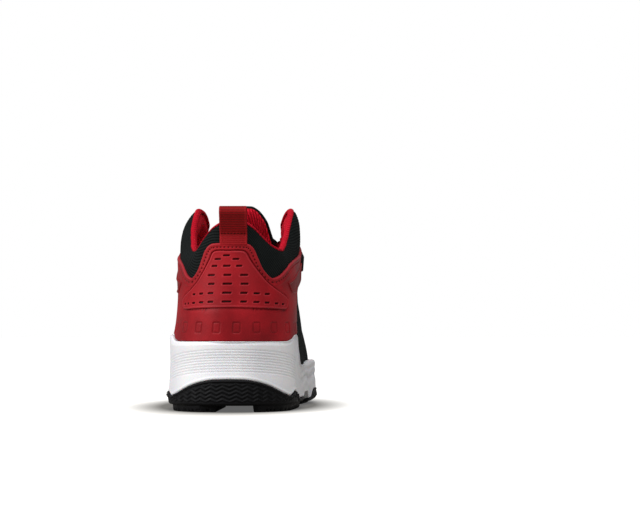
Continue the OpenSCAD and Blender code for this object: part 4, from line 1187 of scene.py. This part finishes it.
def insole():
    n = 240
    ring = spread(upper_ring(UPPER_END - 6, lambda q: bed(q) + 4, n), -6.2)
    t = ring[:, 1]
    low = bed(t) + 1.3 + cushion_rise(t)
    rings = [raised(spread(ring, -0.6), low), raised(ring, low + 0.6), raised(ring, low + 2.2)]
    for q in np.linspace(0, 1, 14)[1:]:
        middle = np.stack([curve(TOE_SHIFT, t), t * 0.98 + 3, 0 * t], -1)
        inner = mix(ring, middle, 0.93 * q)
        h = bed(inner[:, 1]) + 1.3 + cushion_rise(inner[:, 1]) + 3.0
        rings.append(raised(inner, h - 0.5 * np.sin(np.pi * min(q * 1.6, 1))))
    stack("insole_fabric", rings, np.array(rings), None, look="strap", slot="black_mesh",
          replaces=["sockliner"])


def heel_pad_cushion():
    t, side = ring_grid(14, 86, 120)
    half = 27 * closing(t - 14, 30) * closing(86 - t, 18)
    ring = np.stack([side * half, t, 0 * t], -1)
    rings = []
    for q in np.linspace(0, 1, 8):
        z = bed(t) + 1.15 + cushion_rise(t) * q
        rings.append(raised(spread(ring, -0.8 * (2 * q - 1) ** 2), z))
    pad = stack("heel_cushion_pad", rings, None, None, look="cushion", slot="cushion_foam",
                replaces=["heel_cushion"])


# ---------------------------------------------------------------- tongue
EDGE_R = 0.9
TONGUE_OUT = -(2 * TEXTILE + OVERLAY + 4 * CLEAR + 0.35 + 0.6)


def tongue():
    t = TONGUE_TOP + (TONGUE_SEAM - TONGUE_TOP) * np.linspace(0, 1, 130) ** 1.35
    low = at_width(1, t, curve(TONGUE_LINE, t))
    high = 180 - at_width(-1, t, curve(TONGUE_LINE, t))
    share = np.linspace(0, 1, 90)
    p, n, total, up = grid_on(over, t, low, high, share - 0.01 * np.sin(4 * np.pi * share))
    outline = np.concatenate([over(t, low), over(t, high),
                              over(np.full(40, TONGUE_TOP), np.linspace(low[0], high[0], 40))])
    inset, _ = nearest(p, outline)
    crown = rounded(inset, 7.0)
    middle = TONGUE_OUT - 3.3
    front = p + (middle + 0.7 + 3.0 * crown)[..., None] * n
    join = p + (middle - 0.6 - 1.2 * crown)[..., None] * n
    back = p + (middle - 0.9 - 3.2 * crown)[..., None] * n
    surf = surf_of(t, up)
    surf[..., 1] -= total / 2
    pick = picked(90, 40)
    outer = shell("tongue_outer", front, join[:, pick], surf[..., [1, 0, 2]], None, look="mesh",
                  body="tongue", slot="black_mesh", replaces=["tongue_shell", "tongue_foam"])
    join = join - 0.25 * n
    inner = shell("tongue_inner", back[::-1], join[::-1][:, pick], surf[::-1][..., [1, 0, 2]], None,
                  look="lining", body="tongue", slot="red_lining", replaces=["tongue_lining"])
    # rolled edge round the tongue
    side_a, side_b = over(t, low), over(t, high)
    top = over(np.full(30, TONGUE_TOP), np.linspace(low[0], high[0], 30))
    path = np.concatenate([side_a[::-1], top[1:-1], side_b])
    normal_path = np.concatenate([n[::-1, 0], n[0, picked(90, 28)], n[:, -1]])
    path = path + (middle + 0.8) * normal_path
    along = unit(np.gradient(path, axis=0))
    across = unit(np.cross(along, normal_path))
    q = np.linspace(0, 2 * np.pi, 16, endpoint=False)
    rings = (path[:, None] + EDGE_R * np.cos(q)[:, None] * across[:, None]
             + EDGE_R * np.sin(q)[:, None] * normal_path[:, None])
    length = line_length(path)
    surf = surf_grid(length[:, None], q * EDGE_R, (len(path), 16))
    sweep("tongue_edge", rings, surf, None, look="strap", body="tongue", slot="black_mesh")


# ---------------------------------------------------------------- lacing
LOOP_REACH, LOOP_LIFT, LACE_DIP = 0.95, 4.75, 3.0


def row_t(i):
    return 163 + i * 44 / (LACE_ROWS - 1)


def over_throat(t, share, lift):
    side = -1 if share < 0 else 1
    x = max(abs(share) * float(curve(THROAT_LINE, t)), 0.3)
    v = float(at_width(side, t, x))
    v = v if side > 0 else 180 - v
    return over(t, v) + lift * normals(over, t, v)


def seat(t, share, lift):
    """A place over the throat with the direction straight out of the skin there."""
    p = over_throat(t, share, lift)
    return np.concatenate([p, unit(over_throat(t, share, lift + 1) - p)])


def lace_stop(i, side, along):
    return seat(row_t(i) + along, side * LOOP_REACH, LOOP_LIFT)


def lace_run(i, side, high):
    """From a loop to the loop a row further down on the other side."""
    points = [lace_stop(i, side, 2.9)]
    for k in range(1, 6):
        points.append(seat(mix(row_t(i) + 4, row_t(i + 1) - 4, k / 6), side * LOOP_REACH * mix(1, -1, k / 6),
                           LOOP_LIFT + ((1.4 if high else -1.1) - LACE_DIP) * math.sin(math.pi * k / 6)))
    return points + [lace_stop(i + 1, -side, -2.9)]


def lace_line():
    def down(first):
        return [p for i in range(LACE_ROWS - 1)
                for p in lace_run(i, first if i % 2 == 0 else -first, first > 0)]

    def tucked(side):
        flat = [seat(row_t(0) + 26 - k * 6, side * 0.32, -3.2) for k in range(5)]
        return flat + [seat(row_t(0) - 3.5, side * 0.4, -1.5), seat(row_t(0) - 5.5, side * 0.72, 2.6),
                       lace_stop(0, side, -3.4)]

    turn_side = 1 if LACE_ROWS % 2 == 0 else -1
    across = [seat(row_t(LACE_ROWS - 1) + 5, turn_side * LOOP_REACH * mix(1, -1, k / 4),
                   LOOP_LIFT - 1.5 * math.sin(math.pi * k / 4)) for k in range(5)]
    return np.array(tucked(-1) + down(-1) + across + down(1)[::-1] + tucked(1)[::-1])


def finer(points, per):
    """Catmull-Rom points through a line."""
    p = np.concatenate([[2 * points[0] - points[1]], points, [2 * points[-1] - points[-2]]])
    out = []
    for i in range(1, len(p) - 2):
        for u in np.linspace(0, 1, per, endpoint=False):
            a, b, c, d = p[i - 1:i + 3]
            out.append(0.5 * (2 * b + (c - a) * u + (2 * a - 5 * b + 4 * c - d) * u**2
                              + (3 * b - a - 3 * c + d) * u**3))
    return np.array(out + [points[-1]])


def lace():
    line = finer(lace_line(), 6)
    path = line[:, :3]
    along = unit(np.gradient(path, axis=0))
    side = unit(np.cross(along, unit(line[:, 3:])))
    up = np.cross(side, along)
    q = np.linspace(0, 2 * np.pi, 24, endpoint=False)
    x = LACE_W / 2 * np.sign(np.cos(q)) * np.abs(np.cos(q)) ** 0.55
    y = -LACE_T / 2 * np.sin(q) * (1 - 0.25 * np.abs(np.cos(q)))
    rings = path[:, None] + x[:, None] * side[:, None] + y[:, None] * up[:, None]
    length = line_length(path)
    surf = surf_grid(x, length[:, None], (len(path), 24))
    sweep("lace_tape", rings, surf, None, look="lace", slot="lace_fabric", replaces=["lace"])


def lace_loops(side, word):
    outline = np.array([(-5, 0), (-1, 0), (3.6, 0), (5.3, 1), (5.9, 2.5), (5.3, 4.1), (3.6, 5.1), (-1, 5.1),
                        (-5, 5.1), (-5, 4.2), (-1, 4.2), (3.3, 4.2), (4.9, 2.5), (3.3, 0.9), (-1, 0.9),
                        (-5, 0.9)], float)
    for i in range(LACE_ROWS):
        t = row_t(i)
        edge = over_throat(t, side * 0.98, OVERLAY + 0.85)
        v = float(at_width(side, t, curve(THROAT_LINE, t)))
        out = normals(over, t, v if side > 0 else 180 - v)
        along = unit(over_throat(t + 1, side * 0.98, 0) - over_throat(t - 1, side * 0.98, 0))
        inward = unit(np.cross(out, along)) * -side
        closed = np.concatenate([outline, outline[:1]])
        fine = finer(closed, 4)[:-1]
        fine = fine[::-1] if side < 0 else fine
        u = np.linspace(-LACE_LOOP_W / 2, LACE_LOOP_W / 2, 15)
        rings = (edge + u[:, None, None] * along + fine[None, :, 0:1] * inward + fine[None, :, 1:2] * out)
        length = line_length(fine)
        surf = surf_grid(u[:, None], length, (15, len(fine)))
        sweep(f"lace_loop_{word}_{i + 1}", rings, surf, None, look="strap", slot="black_webbing",
              replaces=[f"lace_loops_{word}"])


# ---------------------------------------------------------------- pull tab
def tab_relief(across, along):
    """Ribs across the tape and a smooth selvage along both edges."""
    inset = LOOP_W / 2 - np.abs(across)
    ribs = 0.5 + 0.5 * np.cos(2 * np.pi * along / 1.35)
    return 0.13 * ribs * smooth(1.0, 1.7, inset) + 0.16 * bell(inset - 0.7, 0.6)


def tab_line():
    """Middle of the tape seen from the side: up behind the overlay, over the loop, down by the collar."""
    top = LOOP_TOP - LOOP_PIVOT_Z - WEBBING
    q = np.radians(np.linspace(208, -28, 24))
    r = LOOP_R + WEBBING / 2
    arc = np.stack([r * np.cos(q) - LOOP_BACK, top - LOOP_R + r * np.sin(q)], -1)
    rear_foot, front_foot = np.array([-0.55, 0.3]), np.array([0.45, 0.3])
    share = np.linspace(0, 1, 14)[1:-1, None]
    loop = np.concatenate([[rear_foot], mix(rear_foot, arc[0], share), arc,
                           mix(arc[-1], front_foot, share), [front_foot]])
    loop = loop + [LOOP_PIVOT_Y, LOOP_PIVOT_Z]

    def sewn(heights, off):
        back = wrap(0.0, up_wrap(0.0, np.asarray(heights, float)))
        return np.stack([back[:, 1] - off, back[:, 2]], -1)

    return np.concatenate([sewn([112.4, 114, 115.5, 117, 118.4, 119.6], 1.95), loop,
                           sewn([119.6, 118.4, 117, 115.5], 0.95)])


def pull_tab():
    """One tape, sewn down below the row of stitches and free above it."""
    line = finer(tab_line(), 4)
    length = line_length(line)
    even = np.linspace(0, length[-1], 260)
    line = np.stack([np.interp(even, length, line[:, k]) for k in (0, 1)], -1)
    tangent = unit(np.gradient(line, axis=0))
    out = np.stack([-tangent[:, 1], tangent[:, 0]], -1)
    across = np.linspace(-LOOP_W / 2, LOOP_W / 2, 73)
    inset = LOOP_W / 2 - np.abs(across)[None, :]
    height = line[:, 1:2]
    from_stitch = height - (LOOP_PIVOT_Z - 1.2)
    outer_side = (even < length[-1] / 2)[:, None]
    stitch = bell(((across[None, :] / 2.2) % 1 - 0.5) * 2.2, 0.5) * bell(from_stitch, 0.55) * (inset > 1.2)
    relief = tab_relief(across[None, :], even[:, None]) - 0.35 * stitch * outer_side
    edge = rounded(inset, 0.5)
    hug = turn_in(across) * smooth(127, 119, height)
    faces = []
    for sign in (1, -1):
        d = sign * (0.5 * edge + (relief if sign > 0 else 0.6 * relief) * edge)
        y = line[:, 0:1] + out[:, 0:1] * d + hug
        z = height + out[:, 1:2] * d
        faces.append(np.stack([np.broadcast_to(LOOP_X + across[None, :], z.shape), y, z], -1))
    surf = surf_grid(across[None, :], even[:, None], relief.shape)
    # tone: painted shade in the stitch dents, painted highlight along the raised selvage, lighter tape below
    # the stitches
    tone = 0.95 * stitch * outer_side - 0.3 * bell(inset - 0.7, 0.6) - 0.3 * smooth(-0.8, -1.6, from_stitch)
    grids = [grid[:, ::-1] for grid in (*faces, surf, np.clip(tone, -1, 1))]
    tape = shell("pull_tab_tape", *grids, look="tab", body=None, slot="red_webbing",
                 replaces=["pull_loop", "pull_tab_base"])
    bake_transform(tape)


def turn_in(across):
    """How far the heel's round rear falls away to the sides."""
    return HEEL_DEPTH * (1 - np.cos(turn(across)))[None, :]


# ---------------------------------------------------------------- build
heel_overlay()
heel_panel()
quarter(1, "mesh_side_medial", "quarter_medial")
quarter(-1, "mesh_side_lateral", "quarter_lateral")
collar_inside()
collar_piping()
collar_padding()
side_pieces(1, "medial")
side_pieces(-1, "lateral")
dome("vamp_mesh", "vamp", TONGUE_SEAM, UPPER_END - 1, lambda t: bed(t) - 0.2, 0.0, -1.1, "mesh", "black_mesh",
     150, 200, vamp_holes)
dome("toe_cap_skin", "toe_cap", CAP_START, UPPER_END - 1, lambda t: bite(t) + 0.4, 1.4, 0.2, "black_skin",
     "black_overlay", 90, 200, cap_stitch)
midsole()
heel_rubber()
forefoot_rubber()
tread("heel_tread_medial", 1, 6, HEEL_END - 6, 15.5, 3.0, HEEL_PAD)
tread("heel_tread_lateral", -1, 6, HEEL_END - 6, 9.0, 3.0, HEEL_PAD)
tread("fore_tread_medial", 1, FORE_START + 8, 248, 3.0, 6.0, FORE_PAD)
tread("fore_tread_lateral", -1, FORE_START + 8, 248, 3.0, 6.0, FORE_PAD)
insole()
heel_pad_cushion()
tongue()
lace()
lace_loops(1, "medial")
lace_loops(-1, "lateral")
pull_tab()


# ---------------------------------------------------------------- studio
def stage_floor():
    """Pale floor with a painted contact shadow all round the sole, glowing towards white away from it."""
    k = Look("studio_floor", (0.34, 0.32, 0.28), 0.8, Specular_IOR_Level=0.0)
    k.shader.inputs["Emission Color"].default_value = (1, 1, 1, 1)
    half_sole = (0.058, 0.155, 1.0)
    shares = k.node("ShaderNodeVectorMath", {0: k.object_place(), 1: half_sole}, operation="DIVIDE")
    away = k.node("ShaderNodeVectorMath", {0: shares.outputs["Vector"]}, operation="LENGTH").outputs["Value"]
    # darker base colour and weaker glow near the sole: a painted contact shadow
    around = k.ramp(away, 0.95, 1.5, 0.12, 1.0)
    k.put(k.blend(around, (0.10, 0.09, 0.075), (0.34, 0.32, 0.28)), k.shader.inputs["Base Color"])
    seen = k.node("ShaderNodeLightPath").outputs["Is Camera Ray"]
    glow = k.math("MULTIPLY", around, k.ramp(seen, 0.0, 1.0, 0.2, 1.0))
    k.put(glow, k.shader.inputs["Emission Strength"])
    mesh = bpy.data.meshes.new("floor")
    reach = 12.0
    corners = [(x * reach, y * reach, 0) for x, y in ((-1, -1), (1, -1), (1, 1), (-1, 1))]
    mesh.from_pydata(corners, [], [(0, 1, 2, 3)])
    mesh.materials.append(k.mat)
    obj = bpy.data.objects.new("floor", mesh)
    bpy.context.scene.collection.objects.link(obj)


def area_light(name, place_at, look_at, size, power, colour=(1, 1, 1)):
    data = bpy.data.lights.new(name, "AREA")
    data.shape, data.size, data.size_y = "RECTANGLE", *size
    data.energy, data.color = power, colour
    obj = bpy.data.objects.new(name, data)
    obj.location = place_at
    obj.rotation_mode = "QUATERNION"
    obj.rotation_quaternion = (Vector(look_at) - Vector(place_at)).to_track_quat("-Z", "Y")
    bpy.context.scene.collection.objects.link(obj)


def camera():
    data = bpy.data.cameras.new("camera")
    data.sensor_width, data.lens = 36.0, 126.5625
    obj = bpy.data.objects.new("camera", data)
    yaw, pitch = math.radians(1.5), math.radians(1.86)
    aim = Vector((-math.sin(yaw) * math.cos(pitch), math.cos(yaw) * math.cos(pitch), math.sin(pitch)))
    obj.location = (0.1023, -1.650, 0.0557)
    obj.rotation_mode = "QUATERNION"
    obj.rotation_quaternion = aim.to_track_quat("-Z", "Y")
    data.clip_start, data.clip_end = 0.05, 60
    bpy.context.scene.collection.objects.link(obj)
    bpy.context.scene.camera = obj


stage_floor()
world = bpy.data.worlds.new("studio")
world.use_nodes = True
sky = world.node_tree
seen = sky.nodes.new("ShaderNodeLightPath")
strength = sky.nodes.new("ShaderNodeMapRange")
strength.inputs["To Min"].default_value = 0.26
strength.inputs["To Max"].default_value = 1.0
sky.links.new(seen.outputs["Is Camera Ray"], strength.inputs["Value"])
sky.links.new(strength.outputs["Result"], sky.nodes["Background"].inputs["Strength"])
sky.nodes["Background"].inputs["Color"].default_value = (1, 1, 1, 1)
bpy.context.scene.world = world
area_light("key", (-1.6, -0.9, 1.0), (0, 0, 0.08), (0.9, 0.9), 27)
area_light("top", (0.15, -0.8, 1.6), (0, 0, 0.1), (1.0, 1.0), 18)
area_light("fill", (0.9, -1.5, 0.6), (0, 0, 0.08), (0.9, 0.9), 2)
bpy.context.scene.view_settings.view_transform = "Standard"
camera()
